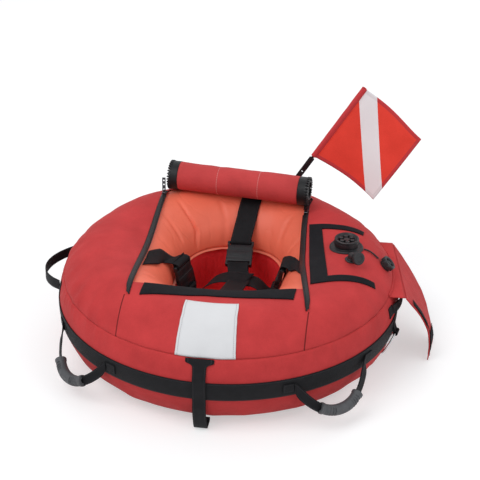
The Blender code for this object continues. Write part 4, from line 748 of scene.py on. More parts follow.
def faced(shape: bmesh.types.BMesh, outwards: Callable[[Vector], Vector]) -> bmesh.types.BMesh:
    """Turn an open sheet so that its faces look the way that outwards gives."""
    shape.normal_update()
    votes = sum(1 if face.normal.dot(outwards(face.calc_center_median())) > 0 else -1
                for face in shape.faces)
    if votes < 0:
        bmesh.ops.reverse_faces(shape, faces=shape.faces)
    return shape


def edged(shape: bmesh.types.BMesh, width: float | None, length: float | None = None,
          hung: bool = False) -> None:
    """Keep each corner's distance from its sheet's edge, for the stitches.

    Args:
        shape: the sheet, with UVs in metres.
        width: its size along U, where it has edges there.
        length: its size along V, where it has edges there.
        hung: whether it starts at a fold along V, and not at an edge.
    """
    chart = shape.loops.layers.uv.verify()
    layer = shape.verts.layers.float.new("edge")
    for face in shape.faces:
        for corner in face.loops:
            u, v = corner[chart].uv
            near = [] if width is None else [u, width - u]
            if length is not None:
                near += [length - v] if hung else [v, length - v]
            corner.vert[layer] = min(near)


def publish(name: str, shape: bmesh.types.BMesh, finish: Finish, body: str = "float",
            nodes: Sequence[str] = (), wall: float = 0.0, side: Side = Side.IN,
            rounding: float = 0.0, crease: float = 35.0) -> bpy.types.Object:
    """Make a finished piece of a mesh.

    Args:
        name: the piece's name.
        shape: its mesh, which is used up.
        finish: its finish.
        body: the body that it rides on.
        nodes: the solids that it stands for.
        wall: the thickness that a sheet gets.
        side: which way that thickness goes.
        rounding: the width of its rounded edges.
        crease: the angle in degrees past which an edge stays sharp.
    Returns:
        The piece.
    """
    mesh = bpy.data.meshes.new(name)
    if not wall:
        bmesh.ops.recalc_face_normals(shape, faces=shape.faces)
    shape.to_mesh(mesh)
    shape.free()
    mesh.materials.append(finish.make())
    mesh.shade_smooth()
    mesh.set_sharp_from_angle(angle=radians(crease))
    piece = bpy.data.objects.new(name, mesh)
    bpy.context.scene.collection.objects.link(piece)
    if wall:
        thick = piece.modifiers.new("Wall", "SOLIDIFY")
        thick.thickness = wall
        thick.offset = side.value
        thick.use_even_offset = False
    if rounding:
        soft = piece.modifiers.new("Round", "BEVEL")
        soft.width = rounding
        soft.segments = 2
        soft.limit_method = "ANGLE"
        soft.angle_limit = radians(40)
    if body:
        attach(piece, body)
    if nodes:
        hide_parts(*nodes)
    LOG.info("made %s", name)
    return piece


def sewn(name: str, shape: bmesh.types.BMesh, size: Sequence[float], wall: float,
         body: str = "float", nodes: Sequence[str] = (), side: Side = Side.OUT,
         finish: Finish = Finishes.STITCHED_WEBBING, rounding: float = 0.0) -> bpy.types.Object:
    """Make a finished piece of a strip that has stitches along its edges.

    Args:
        name: the piece's name.
        shape: its mesh, with UVs in metres, which is used up.
        size: its width, and its length where its ends are edges too.
        wall: its thickness.
        body: the body that it rides on.
        nodes: the solids that it stands for.
        side: which way its thickness goes.
        finish: its finish.
        rounding: the width of its rounded edges.
    Returns:
        The piece.
    """
    edged(shape, *size)
    return publish(name, shape, finish, body, nodes, wall, side, rounding, 50)


class Bench:
    """Hard shapes gathered into one mesh."""

    def __init__(self, base: Matrix | None = None, shape: bmesh.types.BMesh | None = None) -> None:
        """Start a mesh.

        Args:
            base: where the shapes' own frame stands.
            shape: what it holds already.
        """
        self.shape = bmesh.new() if shape is None else shape
        self.base = base or Matrix.Identity(4)

    def rounded(self, made: list[bmesh.types.BMVert], edges: list[bmesh.types.BMEdge], rounding: float,
                segments: int) -> list[bmesh.types.BMVert]:
        """Round some edges of a new shape.

        Args:
            made: the shape's corners.
            edges: which edges.
            rounding: how wide.
            segments: in how many steps.
        Returns:
            The shape's corners afterwards.
        """
        bevelled = bmesh.ops.bevel(self.shape, geom=edges, offset=rounding, segments=segments,
                                   profile=0.5, affect="EDGES", material=-1, clamp_overlap=True)
        return list({vert for face in bevelled["faces"] for vert in face.verts}
                    | {vert for vert in made if vert.is_valid})

    def block(self, size: Triple, place: Matrix, rounding: float = 0.0, segments: int = 2) -> "Bench":
        """Add a box with rounded edges, by its size and place."""
        made = bmesh.ops.create_cube(self.shape, size=1.0)["verts"]
        bmesh.ops.scale(self.shape, vec=size, verts=made)
        if rounding:
            edges = list({edge for vert in made for edge in vert.link_edges})
            made = self.rounded(made, edges, rounding, segments)
        bmesh.ops.transform(self.shape, matrix=self.base @ place, verts=made)
        return self

    def rod(self, radius: float, length: float, place: Matrix, sides: int = 32,
            rounding: float = 0.0) -> "Bench":
        """Add a cylinder centred on its place, along Z."""
        made = bmesh.ops.create_cone(self.shape, cap_ends=True, segments=sides, radius1=radius,
                                     radius2=radius, depth=length)["verts"]
        if rounding:
            rims = [edge for edge in {edge for vert in made for edge in vert.link_edges}
                    if abs(edge.verts[0].co.z - edge.verts[1].co.z) < length / 2]
            made = self.rounded(made, rims, rounding, 2)
        bmesh.ops.transform(self.shape, matrix=self.base @ place, verts=made)
        return self

    def turned(self, profile: Sequence[Pair], place: Matrix, steps: int = 48) -> "Bench":
        """Add a ring or disc turned from a (radius, height) profile; a ring's profile is closed."""
        before = set(self.shape.verts)
        line = [self.shape.verts.new((r, 0, z)) for r, z in profile]
        pairs = list(zip(line, line[1:]))
        if profile[0][0] > 0 or profile[-1][0] > 0:
            pairs.append((line[-1], line[0]))
        edges = [self.shape.edges.new(pair) for pair in pairs]
        bmesh.ops.spin(self.shape, geom=line + edges, cent=(0, 0, 0), axis=(0, 0, 1),
                       angle=TAU, steps=steps, use_merge=True)
        made = [vert for vert in self.shape.verts if vert not in before]
        bmesh.ops.remove_doubles(self.shape, verts=made, dist=1e-6)
        made = [vert for vert in self.shape.verts if vert not in before]
        bmesh.ops.transform(self.shape, matrix=self.base @ place, verts=made)
        return self


def swept(path: Sequence[Vector], radii: Sequence[float], sides: int) -> bmesh.types.BMesh:
    """A closed round bar along a path.

    Args:
        path: its centre line.
        radii: its radius at each point.
        sides: corners of its section.
    Returns:
        The bar, with UVs in metres.
    """
    count = len(path)
    length = length_of(path)
    frames = []
    side = Vector((0, 0, 1)).cross(path[1] - path[0]).normalized()
    for index in range(count):
        ahead = (path[min(count - 1, index + 1)] - path[max(0, index - 1)]).normalized()
        side = (side - ahead * side.dot(ahead)).normalized()
        frames.append((side.copy(), ahead.cross(side)))

    def place(u: float, v: float) -> Vector:
        index = round(v * (count - 1))
        across, normal = frames[index]
        turn = TAU * u
        return path[index] + radii[index] * (across * cos(turn) + normal * sin(turn))
    shape = laid(place, (sides, count - 1), (TAU * max(radii), length))
    bmesh.ops.remove_doubles(shape, verts=shape.verts, dist=1e-5)
    bmesh.ops.holes_fill(shape, edges=[edge for edge in shape.edges if edge.is_boundary])
    return shape


def ribbon(rows: Sequence[Row], width: float, steps: int, across_cells: int) -> bmesh.types.BMesh:
    """A band of webbing.

    Args:
        rows: its centres and the directions across it.
        width: its width.
        steps: faces along it.
        across_cells: faces across it.
    Returns:
        The band, with UVs in metres.
    """
    centres = [Vector(row[0]) for row in rows]
    acrosses = [Vector(row[1]).normalized() for row in rows]
    length = length_of(centres)

    def place(u: float, v: float) -> Vector:
        centre = smooth_point(centres, v)
        across = smooth_point(acrosses, v).normalized()
        return centre + across * (u - 0.5) * width
    return laid(place, (across_cells, steps), (width, length))


# Surfaces that carry the other pieces


@dataclass(frozen=True)
class CoverForm:
    """The filled cover: a tube bent round the float's axis, with its cloth's folds."""

    outer_radius: float = 0.4
    side_bulge: float = 0.12
    inner_bulge: float = 0.17
    mid_height: float = 0.135
    top_height: float = 0.266
    lower_fullness: float = 2.28
    top_seam_height: float = 0.192
    side_seam_height: float = 0.112
    gather_pitch: float = 0.011
    gather_depth: float = 0.0021
    scallop_depth: float = 0.0032
    radiating_depth: float = 0.0034
    broad_depth: float = 0.0046
    low_fold_depth: float = 0.0038
    ridge_depth: float = 0.0022
    seam_pinch: float = -0.0016
    deepest_fold: float = 0.0024
    arc_radius: float = 0.128
    quiet_spots: tuple[Triple, ...] = ((0.272, 0.033, 0.052), (0.29, -0.03, 0.03),
                                       (0.36, 0.028, 0.034), (0.0935, 0.325, 0.045),
                                       (-0.2, 0.205, 0.04), (0.158, 0.183, 0.042))

    @property
    def tube_radius(self) -> float:
        """The radius at which the cover's crown runs."""
        return self.outer_radius - self.side_bulge

    @property
    def seam_angle(self) -> float:
        """The angle of the seam round the top panel."""
        return self.angle_at_height(self.top_seam_height)

    def section(self, angle: float, lift: float = 0.0) -> Pair:
        """Radius and height on the smooth form, raised by lift, at an angle about its tube."""
        along, up = cos(angle), sin(angle)
        reach = (self.side_bulge if along >= 0 else self.inner_bulge) + lift
        rise = (self.top_height - self.mid_height if up >= 0 else self.mid_height) + lift
        power = 1.0 if up >= 0 else 2 / self.lower_fullness
        return (self.tube_radius + reach * copysign(abs(along) ** power, along),
                self.mid_height + rise * copysign(abs(up) ** power, up))

    def angle_at_height(self, height: float) -> float:
        """The angle about the tube at a height on the outer side."""
        if height >= self.mid_height:
            return asin((height - self.mid_height) / (self.top_height - self.mid_height))
        return -asin(((self.mid_height - height) / self.mid_height) ** (self.lower_fullness / 2))

    def angle_at_radius(self, radius: float) -> float:
        """The angle about the tube at a radius on the top."""
        offset = radius - self.tube_radius
        return acos(offset / (self.side_bulge if offset >= 0 else self.inner_bulge))

    def relief(self, turn: float, angle: float) -> float:
        """How far the cloth's folds stand out of the smooth form."""
        radius, height = self.section(angle)
        x, y = radius * cos(turn), radius * sin(turn)
        east, north = cos(turn), sin(turn)
        from_seam = (angle - self.seam_angle) * self.arc_radius
        scallops = self.scallop_depth * wobble(east, north, 3.1, 11.0)
        if angle >= self.seam_angle:
            radiating = self.radiating_depth * wobble(east, north, radius * 0.3, 13.0)
            radiating *= bell(from_seam - 0.03, 0.035)
            broad = self.broad_depth * wobble(x, y, 0.7, 7.0)
            fine = 0.0007 * wobble(x, y, 0.2, 26.0)
            folds = (radiating + broad + fine) * (1 - bell(from_seam, 0.008))
        else:
            down = -from_seam
            gathers = wobble(east, north, 0.4 + down * 0.35, self.outer_radius / self.gather_pitch)
            fine = wobble(east, north, 1.7 + down * 0.8, 62.0)
            long_folds = wobble(east * 0.8 + height * 1.3, north * 0.8 - height * 0.6, 0.3, 9.0)
            ridge = 1 - abs(wobble(east * 0.7 + height * 1.5, north * 0.7, 5.0 + height, 7.5)) * 2
            near = exp(-down / 0.034)
            low = clip((0.088 - height) / 0.04) * clip((height - 0.012) / 0.03)
            folds = ((self.gather_depth * gathers + 0.0007 * fine) * near + 0.0008 * long_folds) * (
                1 - bell(down, 0.003)) * min(1.0, max(0.08, (height - 0.138) / 0.02))
            folds += (self.low_fold_depth * long_folds + self.ridge_depth * ridge) * low
        pinch = self.seam_pinch * bell(from_seam, 0.0035)
        quiet = 1.0
        for spot_x, spot_y, reach in self.quiet_spots:
            quiet *= 1 - bell(hypot(x - spot_x, y - spot_y), reach) if angle > 0 else 1.0
        rise = (folds + scallops * bell(from_seam, 0.024)) * quiet
        if rise < 0:
            rise = self.deepest_fold * expm1(rise / self.deepest_fold)
        return rise + pinch

    def point(self, turn: float, angle: float, lift: float = 0.0) -> Vector:
        """A point on the cloth."""
        radius, height = self.section(angle, lift + self.relief(turn, angle))
        return polar(radius, turn, height)

    def above(self, x: float, y: float, lift: float = 0.0) -> Vector:
        """The point of the cloth above a place in plan."""
        radius = hypot(x, y)
        return self.point(atan2(y, x), self.angle_at_radius(radius), lift)

    def raised(self, x: float, y: float, lift: float) -> Vector:
        """The smooth form's point above a place in plan, pushed outwards by lift."""
        reach = hypot(x, y)
        radius, height = self.section(self.angle_at_radius(reach), lift)
        return Vector((x * radius / reach, y * radius / reach, height))

    def beside(self, angle: float, turn: float, sideways: float, lift: float = 0.0) -> Vector:
        """A point on the cloth's side, sideways of the upright plane at turn."""
        radius, _ = self.section(angle)
        return self.point(turn + asin(sideways / radius), angle, lift)

    def normal(self, x: float, y: float) -> Vector:
        """The smooth form's outward direction above a place in plan."""
        radius = hypot(x, y)
        angle = self.angle_at_radius(radius)
        (r0, z0), (r1, z1) = self.section(angle), self.section(angle, 0.001)
        return Vector((x / radius * (r1 - r0), y / radius * (r1 - r0), z1 - z0)).normalized()


@dataclass(frozen=True)
class LidOpening:
    """The outline of the opening that the lid closes, in plan."""

    left: tuple[Pair, Pair, Pair] = ((-0.198, 0.225), (-0.1885, 0.0), (-0.174, -0.269))
    right: tuple[Pair, Pair, Pair] = ((0.148, 0.215), (0.1695, 0.0), (0.218, -0.252))
    front_left: Pair = (-0.15, -0.222)
    front_right: Pair = (0.187, -0.182)
    rear_y: float = 0.25

    @staticmethod
    def side_x(edge: tuple[Pair, Pair, Pair], y: float) -> float:
        """The x of one side at y, on a curve through its three places."""
        (x0, y0), (x1, y1), (x2, y2) = edge
        return (x0 * (y - y1) * (y - y2) / ((y0 - y1) * (y0 - y2))
                + x1 * (y - y0) * (y - y2) / ((y1 - y0) * (y1 - y2))
                + x2 * (y - y0) * (y - y1) / ((y2 - y0) * (y2 - y1)))

    def front_y(self, x: float) -> float:
        """The y of the front edge at x."""
        share = (x - self.front_left[0]) / (self.front_right[0] - self.front_left[0])
        return mix(self.front_left[1], self.front_right[1], share)

    def outline(self, count: int = 60) -> list[Pair]:
        """The corners of the outline, close together along each side."""
        right_foot = self.front_y(self.right[2][0])
        left_foot = self.front_y(self.left[1][0])
        right = [mix(right_foot, self.rear_y, i / count) for i in range(count + 1)]
        left = [mix(self.rear_y, left_foot, i / count) for i in range(count + 1)]
        sides = [(self.side_x(self.right, y), y) for y in right]
        sides += [(self.side_x(self.left, y), y) for y in left]
        start, end = sides[-1], sides[0]
        front = [(mix(start[0], end[0], i / count), mix(start[1], end[1], i / count))
                 for i in range(1, count)]
        middle = sides[count]
        rear = [(mix(middle[0], sides[count + 1][0], i / count), self.rear_y)
                for i in range(1, count)]
        return sides[:count + 1] + rear + sides[count + 1:] + front

    def radius_table(self) -> list[Pair]:
        """The outline as (turn, radius), in order of turn."""
        return sorted((atan2(y, x), hypot(x, y)) for x, y in self.outline())


@dataclass(frozen=True)
class WellForm:
    """The well in the middle, and the air tube's slope down to it."""

    cover: CoverForm
    radius: float = 0.16
    half_width_left: float = 0.13
    half_width_right: float = 0.125
    half_depth: float = 0.178
    squareness: float = 2.6
    seam_height: float = 0.15
    tube_inset: float = 0.0045

    @property
    def crown(self) -> float:
        """The height of the air tube's top."""
        return self.cover.top_height - self.tube_inset

    def radius_at(self, turn: float) -> float:
        """The radius of the well's rounded outline in a direction."""
        x, y = cos(turn), sin(turn)
        half = self.half_width_right if x >= 0 else self.half_width_left
        n = self.squareness
        return ((abs(x) / half) ** n + (abs(y) / self.half_depth) ** n) ** (-1 / n)

    def fitted(self, radius: float, turn: float) -> float:
        """A radius of the round well stretched to the well's outline."""
        tube = self.cover.tube_radius
        if radius >= tube:
            return radius
        return tube - (tube - radius) / (tube - self.radius) * (tube - self.radius_at(turn))

    def on_tube(self, x: float, y: float, lift: float) -> Vector:
        """The point above (x, y) on the air tube's slope into the well."""
        radius = hypot(x, y)
        reach = self.cover.tube_radius - self.radius_at(atan2(y, x)) + lift
        share = clip((self.cover.tube_radius - radius) / reach)
        rise = (self.crown - self.seam_height + lift) * sqrt(1 - share * share)
        return Vector((x, y, self.seam_height + rise))


FORM = CoverForm()
OPENING = LidOpening()
WELL = WellForm(FORM)
LAY = 0.0009


# Cover and air tube


@dataclass
class Cover:
    """The red cover's panels and the belt round them."""

    wall: float = 0.0022
    valve_holes: tuple[Triple, ...] = ((0.272, 0.033, 0.0245), (0.29, -0.03, 0.0085))
    belt_top: float = 0.1375
    belt_width: float = 0.045
    belt_thickness: float = 0.002
    drain_place: Pair = (0.0, 0.08)
    drain_radius: float = 0.008
    radii: list[Pair] = field(default_factory=OPENING.radius_table)

    def opening_radius(self, turn: float) -> float:
        """The radius of the lid opening's edge in a direction."""
        table = self.radii
        low, high = 0, len(table) - 1
        if turn <= table[0][0] or turn >= table[-1][0]:
            (t0, r0), (t1, r1) = table[-1], (table[0][0] + TAU, table[0][1])
            turn = turn + TAU if turn <= table[0][0] else turn
        else:
            while high - low > 1:
                middle = (low + high) // 2
                if table[middle][0] <= turn:
                    low = middle
                else:
                    high = middle
            (t0, r0), (t1, r1) = table[low], table[high]
        return mix(r0, r1, (turn - t0) / max(1e-9, t1 - t0))

    def build(self) -> None:
        """Make the panels and the belt."""
        self.top()
        seam = FORM.seam_angle
        side = FORM.angle_at_height(FORM.side_seam_height)
        self.band("upper_side_cloth", seam - 0.0012, side, 30, 720, "upper_side_panel")
        self.band("lower_side_cloth", side - 0.002, -pi / 2, 36, 480, "lower_side_panel")
        self.base()
        self.belt()

    def top(self) -> None:
        """The top panel, from the lid opening's edge to its seam."""
        def place(turn: float, share: float) -> Vector:
            start = FORM.angle_at_radius(self.opening_radius(turn))
            return FORM.point(turn, mix(start, FORM.seam_angle + 0.0012, share))

        def chart(turn: float, share: float, spot: Vector) -> Pair:
            return turn * FORM.tube_radius, hypot(spot.x, spot.y)
        shape = spun(place, 64, 540, chart)
        for x, y, radius in self.valve_holes:
            inside = [vert for vert in shape.verts if hypot(vert.co.x - x, vert.co.y - y) < radius]
            bmesh.ops.delete(shape, geom=inside, context="VERTS")
        faced(shape, upwards)
        publish("top_cloth", shape, Finishes.TOP, nodes=["top_panel"], wall=self.wall, crease=60)

    def band(self, name: str, high: float, low: float, rings: int, columns: int, node: str) -> None:
        """One panel between two angles about the tube."""
        def place(turn: float, share: float) -> Vector:
            return FORM.point(turn, mix(high, low, share))

        def chart(turn: float, share: float, spot: Vector) -> Pair:
            return turn * FORM.outer_radius, share * abs(high - low) * FORM.mid_height
        shape = faced(spun(place, rings, columns, chart), lambda spot: spot)
        publish(name, shape, Finishes.COVER, nodes=[node], wall=self.wall, crease=60)

    def base(self) -> None:
        """The base panel under the float, with its drain hole, and the eyelet in it."""
        x0, y0 = self.drain_place
        reach = FORM.tube_radius - 0.0004

        def place(turn: float, share: float) -> Vector:
            direction = Vector((cos(turn), sin(turn), 0))
            start = Vector((x0, y0, 0))
            along = start.dot(direction)
            far = -along + sqrt(along * along - start.length_squared + reach * reach)
            spot = start + direction * mix(self.drain_radius, far, share)
            return spot + Vector((0, 0, 0.0024 - 0.0006 * abs(wobble(spot.x, spot.y, 0.1, 14.0))
                                  * min(1.0, share * 6, (1 - share) * 6)))

        def chart(turn: float, share: float, spot: Vector) -> Pair:
            return spot.x, spot.y
        shape = faced(spun(place, 30, 144, chart), upwards)
        publish("base_cloth", shape, Finishes.COVER, nodes=["base_panel"], wall=0.0016, crease=60)
        dress("drain_eyelet", Finishes.STEEL)

    def belt(self) -> None:
        """The webbing belt."""
        high = FORM.angle_at_height(self.belt_top)
        low = FORM.angle_at_height(self.belt_top - self.belt_width)

        def place(turn: float, share: float) -> Vector:
            return FORM.point(turn, mix(high, low, share), 0.0008)

        def chart(turn: float, share: float, spot: Vector) -> Pair:
            return share * self.belt_width, turn * FORM.outer_radius
        shape = faced(spun(place, 10, 480, chart), sideways)
        sewn("belt_webbing", shape, [self.belt_width], self.belt_thickness, nodes=["belt"])


def dress(node: str, finish: Finish) -> None:
    """Give a solid that stays a finish."""
    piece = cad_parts[node]
    material = finish.make()
    if not piece.material_slots:
        piece.data.materials.append(material)
    for place in piece.material_slots:
        place.material = material


@dataclass
class AirTube:
    """The orange air tube, its welded rim round the well, and the well's lining."""

    recess: float = 0.1678
    foot: float = 0.0045
    section_shares: Triple = (0.4, 0.22, 0.38)
    rim_width: float = 0.0055
    rim_thickness: float = 0.0018
    lining_radius: float = 0.1652
    lining_top: float = 0.1482
    creases: tuple[tuple[tuple[Pair, ...], float, float], ...] = (
        (((-0.178, 0.212), (-0.16, 0.189), (-0.1513, 0.18), (-0.1351, 0.165), (-0.1167, 0.1534),
          (-0.1079, 0.147), (-0.105, 0.132)), 0.0075, 0.0042),
        (((-0.193, 0.13), (-0.1734, 0.121), (-0.1546, 0.107), (-0.1368, 0.096)), 0.0038, 0.0065),
        (((-0.068, 0.23), (-0.0501, 0.203), (-0.0434, 0.1865), (-0.0445, 0.176)), 0.003, 0.008),
        (((-0.19, -0.18), (-0.168, -0.16), (-0.15, -0.15)), 0.003, 0.008),
        (((0.12, 0.19), (0.105, 0.165), (0.098, 0.15)), 0.003, 0.008),
        (((0.165, 0.12), (0.145, 0.105), (0.13, 0.098)), 0.003, 0.008))

    def creased(self, spot: Vector, turn: float, share: float) -> float:
        """How far the skin sinks at a spot of its slope into the well."""
        east, north = cos(turn), sin(turn)
        low = 1 - share
        pulls = wobble(east, north, share * 0.12, 9.0) * 0.0026 * low
        fine = wobble(east, north, share * 0.25, 24.0) * 0.0012 * low ** 2
        depth = max(0.0, -pulls - fine) + 0.0008 * (1 + wobble(spot.x, spot.y, 0.4, 8.0))
        for line, sink, width in self.creases:
            for (x0, y0), (x1, y1) in zip(line, line[1:]):
                run = Vector((x1 - x0, y1 - y0))
                off = Vector((spot.x - x0, spot.y - y0))
                along = clip(off.dot(run) / run.length_squared)
                depth = max(depth, sink * bell((off - run * along).length, width))
        return depth

    def section(self, turn: float, share: float) -> Vector:
        """A point of the tube's closed section, from its crown outwards and back up the well."""
        tube, foot, seam = FORM.tube_radius, self.foot, WELL.seam_height
        outer, floor, slope = self.section_shares
        if share < outer:
            radius, height = FORM.section(pi / 2 - pi * share / outer, -WELL.tube_inset)
            return polar(radius, turn, height)
        if share < outer + floor:
            line = [Vector((tube, foot, 0)), Vector((mix(tube, self.recess, 0.55), foot, 0)),
                    Vector((mix(tube, self.recess, 0.88), foot + 0.003, 0)),
                    Vector((self.recess, foot + 0.014, 0)), Vector((self.recess, 0.09, 0)),
                    Vector((self.recess, seam - 0.001, 0))]
            spot = smooth_point(line, (share - outer) / floor)
            return polar(WELL.fitted(spot.x, turn), turn, spot.y)
        climb = (share - (outer + floor)) / slope
        swing = climb * pi / 2
        radius = tube - (tube - WELL.radius) * cos(swing)
        height = seam + 0.001 + (WELL.crown - seam - 0.001) * sin(swing)
        spot = polar(WELL.fitted(radius, turn), turn, height)
        out = Vector((-cos(turn) * cos(swing), -sin(turn) * cos(swing), sin(swing)))
        return spot - out * self.creased(spot, turn, climb) * sin(pi * min(1.0, climb + 0.08))

    def rim_wave(self, turn: float) -> float:
        """The welded rim's rise and fall round the well."""
        return 0.0016 * wobble(cos(turn), sin(turn), 0.9, 8.0)

    def build(self) -> None:
        """Make the tube, its rim and the lining."""
        def chart(turn: float, share: float, spot: Vector) -> Pair:
            return turn * WELL.radius, share * 0.8
        shape = spun(self.section, 110, 420, chart)
        bmesh.ops.remove_doubles(shape, verts=shape.verts, dist=2e-5)
        for x, y, radius in Cover.valve_holes:
            inside = [vert for vert in shape.verts if vert.co.z > 0.2
                      and hypot(vert.co.x - x, vert.co.y - y) < radius]
            bmesh.ops.delete(shape, geom=inside, context="VERTS")
        publish("air_tube_skin", shape, Finishes.SKIN, nodes=["air_tube"], crease=70)
        self.rim()
        self.lining()

    def rim(self) -> None:
        """The flat welded rim that stands into the well."""
        def place(turn: float, share: float) -> Vector:
            radius = WELL.fitted(WELL.radius, turn) + 0.003 - share * (self.rim_width + 0.003)
            return polar(radius, turn, WELL.seam_height + self.rim_wave(turn) * share
                         - 0.0012 * share)

        def chart(turn: float, share: float, spot: Vector) -> Pair:
            return turn * WELL.radius, share * self.rim_width
        shape = faced(spun(place, 3, 420, chart), upwards)
        publish("air_tube_rim", shape, Finishes.RIM, wall=self.rim_thickness, side=Side.BOTH,
                rounding=0.0005, crease=50)

    def lining(self) -> None:
        """The lining hanging below the rim."""
        def place(turn: float, share: float) -> Vector:
            east, north = cos(turn), sin(turn)
            height = mix(self.lining_top, 0.0032, share)
            folds = (0.003 * (1 + wobble(east, north, height * 0.8, 11.0))
                     + 0.0012 * (1 + wobble(east, north, height * 1.6, 30.0)))
            folds *= min(1.0, share * 8) * min(1.0, (1 - share) * 12)
            return polar(WELL.fitted(self.lining_radius, turn) - folds, turn, height)

        def chart(turn: float, share: float, spot: Vector) -> Pair:
            return turn * WELL.radius, spot.z
        shape = faced(spun(place, 48, 420, chart), lambda spot: Vector((-spot.x, -spot.y, 0)))
        publish("well_lining_cloth", shape, Finishes.LINING, nodes=["well_lining"], wall=0.001,
                crease=60)


# Pieces laid on the top


@dataclass
class LaidStrips:
    """The white panel, the hook-and-loop strips and the zips beside the opening."""

    white_half_low: float = 0.066
    white_half_high: float = 0.0586
    white_top_radius: float = 0.281
    front_turn: float = radians(3.0)
    strip_width: float = 0.046
    strip_thickness: float = 0.0013
    setback: float = 0.003
    bar_width: float = 0.0335
    arm_width: float = 0.022
    bar_rear: Pair = (0.171, 0.135)
    bar_front: Pair = (0.2135, -0.156)
    rear_arm: Pair = (0.303, 0.128)
    front_arm: Pair = (0.353, -0.088)
    zip_width: float = 0.012
    end_taper: float = 0.35
    end_slant: float = 0.009
    slider_shares: Pair = (0.035, 0.065)

    def build(self) -> None:
        """Make all of them."""
        self.white_panel()
        self.front_strip()
        self.valve_strip()
        self.zip("left", OPENING.left, -1.0, self.slider_shares[0])
        self.zip("right", OPENING.right, 1.0, self.slider_shares[1])

    def white_panel(self) -> None:
        """The white panel from the top seam up to the front strip."""
        low = FORM.seam_angle + 0.005
        high = FORM.angle_at_radius(self.white_top_radius)
        turn = -pi / 2 + self.front_turn

        def place(u: float, v: float) -> Vector:
            half = mix(self.white_half_low, self.white_half_high, v)
            half += 0.0008 * wobble(u * 0.02, v, 0.5, 9.0)
            return FORM.beside(mix(low, high, v), turn, (2 * u - 1) * half, LAY)
        width, length = 2 * self.white_half_low, (high - low) * FORM.arc_radius
        shape = faced(laid(place, (44, 36), (width, length)), lambda spot: spot)
        edged(shape, width)
        publish("white_panel_cloth", shape, Finishes.WHITE, nodes=["white_panel"], wall=0.0008,
                side=Side.OUT, crease=60)

    def front_strip(self) -> None:
        """The strip along the front edge of the lid opening."""
        left, right = OPENING.front_left[0], OPENING.front_right[0]

        def place(u: float, v: float) -> Vector:
            x = mix(left, right, u)
            wave = 0.001 * wobble(x, v * 0.1, 0.3, 22.0)
            y = OPENING.front_y(x) - self.setback - self.strip_width * (1 - v) + wave
            return FORM.above(x, y, LAY + 0.0004 * (1 + wobble(x, y, 0.9, 40.0)))
        size = (right - left, self.strip_width)
        shape = faced(laid(place, (110, 14), size), upwards)
        sewn("front_strip_pile", shape, size, self.strip_thickness, nodes=["front_fastener"],
             finish=Finishes.PILE)

    def valve_strip(self) -> None:
        """The C-shaped strip that the valve flap closes on."""
        outer = (self.rear_arm, self.bar_rear, self.bar_front, self.front_arm)
        inner = ((self.rear_arm[0], self.rear_arm[1] - self.arm_width),
                 (self.bar_rear[0] + self.bar_width, self.bar_rear[1] - self.arm_width),
                 (self.bar_front[0] + self.bar_width, self.bar_front[1] + 2 * self.arm_width),
                 (self.front_arm[0] - 0.004, self.front_arm[1] + 0.7 * self.arm_width))
        runs = (24, 60, 30)

        def place(u: float, v: float) -> Vector:
            step = v * sum(runs)
            for index, count in enumerate(runs):
                if step <= count + 1e-9:
                    break
                step -= count
            share = min(1.0, step / count)
            a = Vector(inner[index]).lerp(Vector(inner[index + 1]), share)
            b = Vector(outer[index]).lerp(Vector(outer[index + 1]), share)
            spot = a.lerp(b, u)
            return FORM.above(spot.x, spot.y, LAY + 0.0003 * (1 + wobble(spot.x, spot.y, 0.4, 40.0)))
        length = length_of([Vector(corner) for corner in outer])
        size = (self.bar_width, length)
        shape = faced(laid(place, (8, sum(runs)), size), upwards)
        sewn("valve_strip_pile", shape, size, self.strip_thickness, nodes=["valve_fastener"],
             finish=Finishes.PILE)

    def zip(self, side: str, edge: tuple[Pair, Pair, Pair], outward: float, slider: float) -> None:
        """The half of a zip that stays on the cover: a domed tape with teeth on its free edge."""
        rear, front = edge[0][1], edge[2][1]
        length = abs(rear - front)

        def spot(across: float, along: float, lift: float) -> Vector:
            taper = bell(along - 1, 0.045)
            width = self.zip_width * (1 - self.end_taper * taper)
            y = mix(rear, front, along) + self.end_slant * taper * across
            x = OPENING.side_x(edge, y) + outward * width * across
            return FORM.above(x, y, lift)

        def place(u: float, v: float) -> Vector:
            flat = bell((v - slider) * length, 0.016)
            dome = 0.003 * (1 - flat) * sqrt(max(0.0, 1 - (2 * u - 1) ** 4))
            return spot(u, v, LAY + 0.0004 + dome)
        shape = faced(laid(place, (10, 150), (self.zip_width, length)), upwards)
        publish(f"{side}_zip_tape", shape, Finishes.ZIP, nodes=[f"{side}_zip"], wall=0.0012,
                crease=50)
        bench = Bench()
        count = int(length / 0.0034)
        for index in range(count):
            share = (index + 0.5) / count
            if abs(share - slider) * length < 0.01:
                continue
            base = spot(0.02, share, LAY + 0.0012)
            ahead = spot(0.02, min(1.0, share + 0.01), LAY + 0.0012) - base
            across = spot(-0.2, share, LAY + 0.0012) - base
            bench.block((0.0034, 0.0018, 0.002), frame_at(base, across, ahead))
        publish(f"{side}_zip_teeth", bench.shape, Finishes.PLASTIC, crease=30)
        dress(f"{side}_slider", Finishes.GUNMETAL)
        dress(f"{side}_pull", Finishes.GUNMETAL)


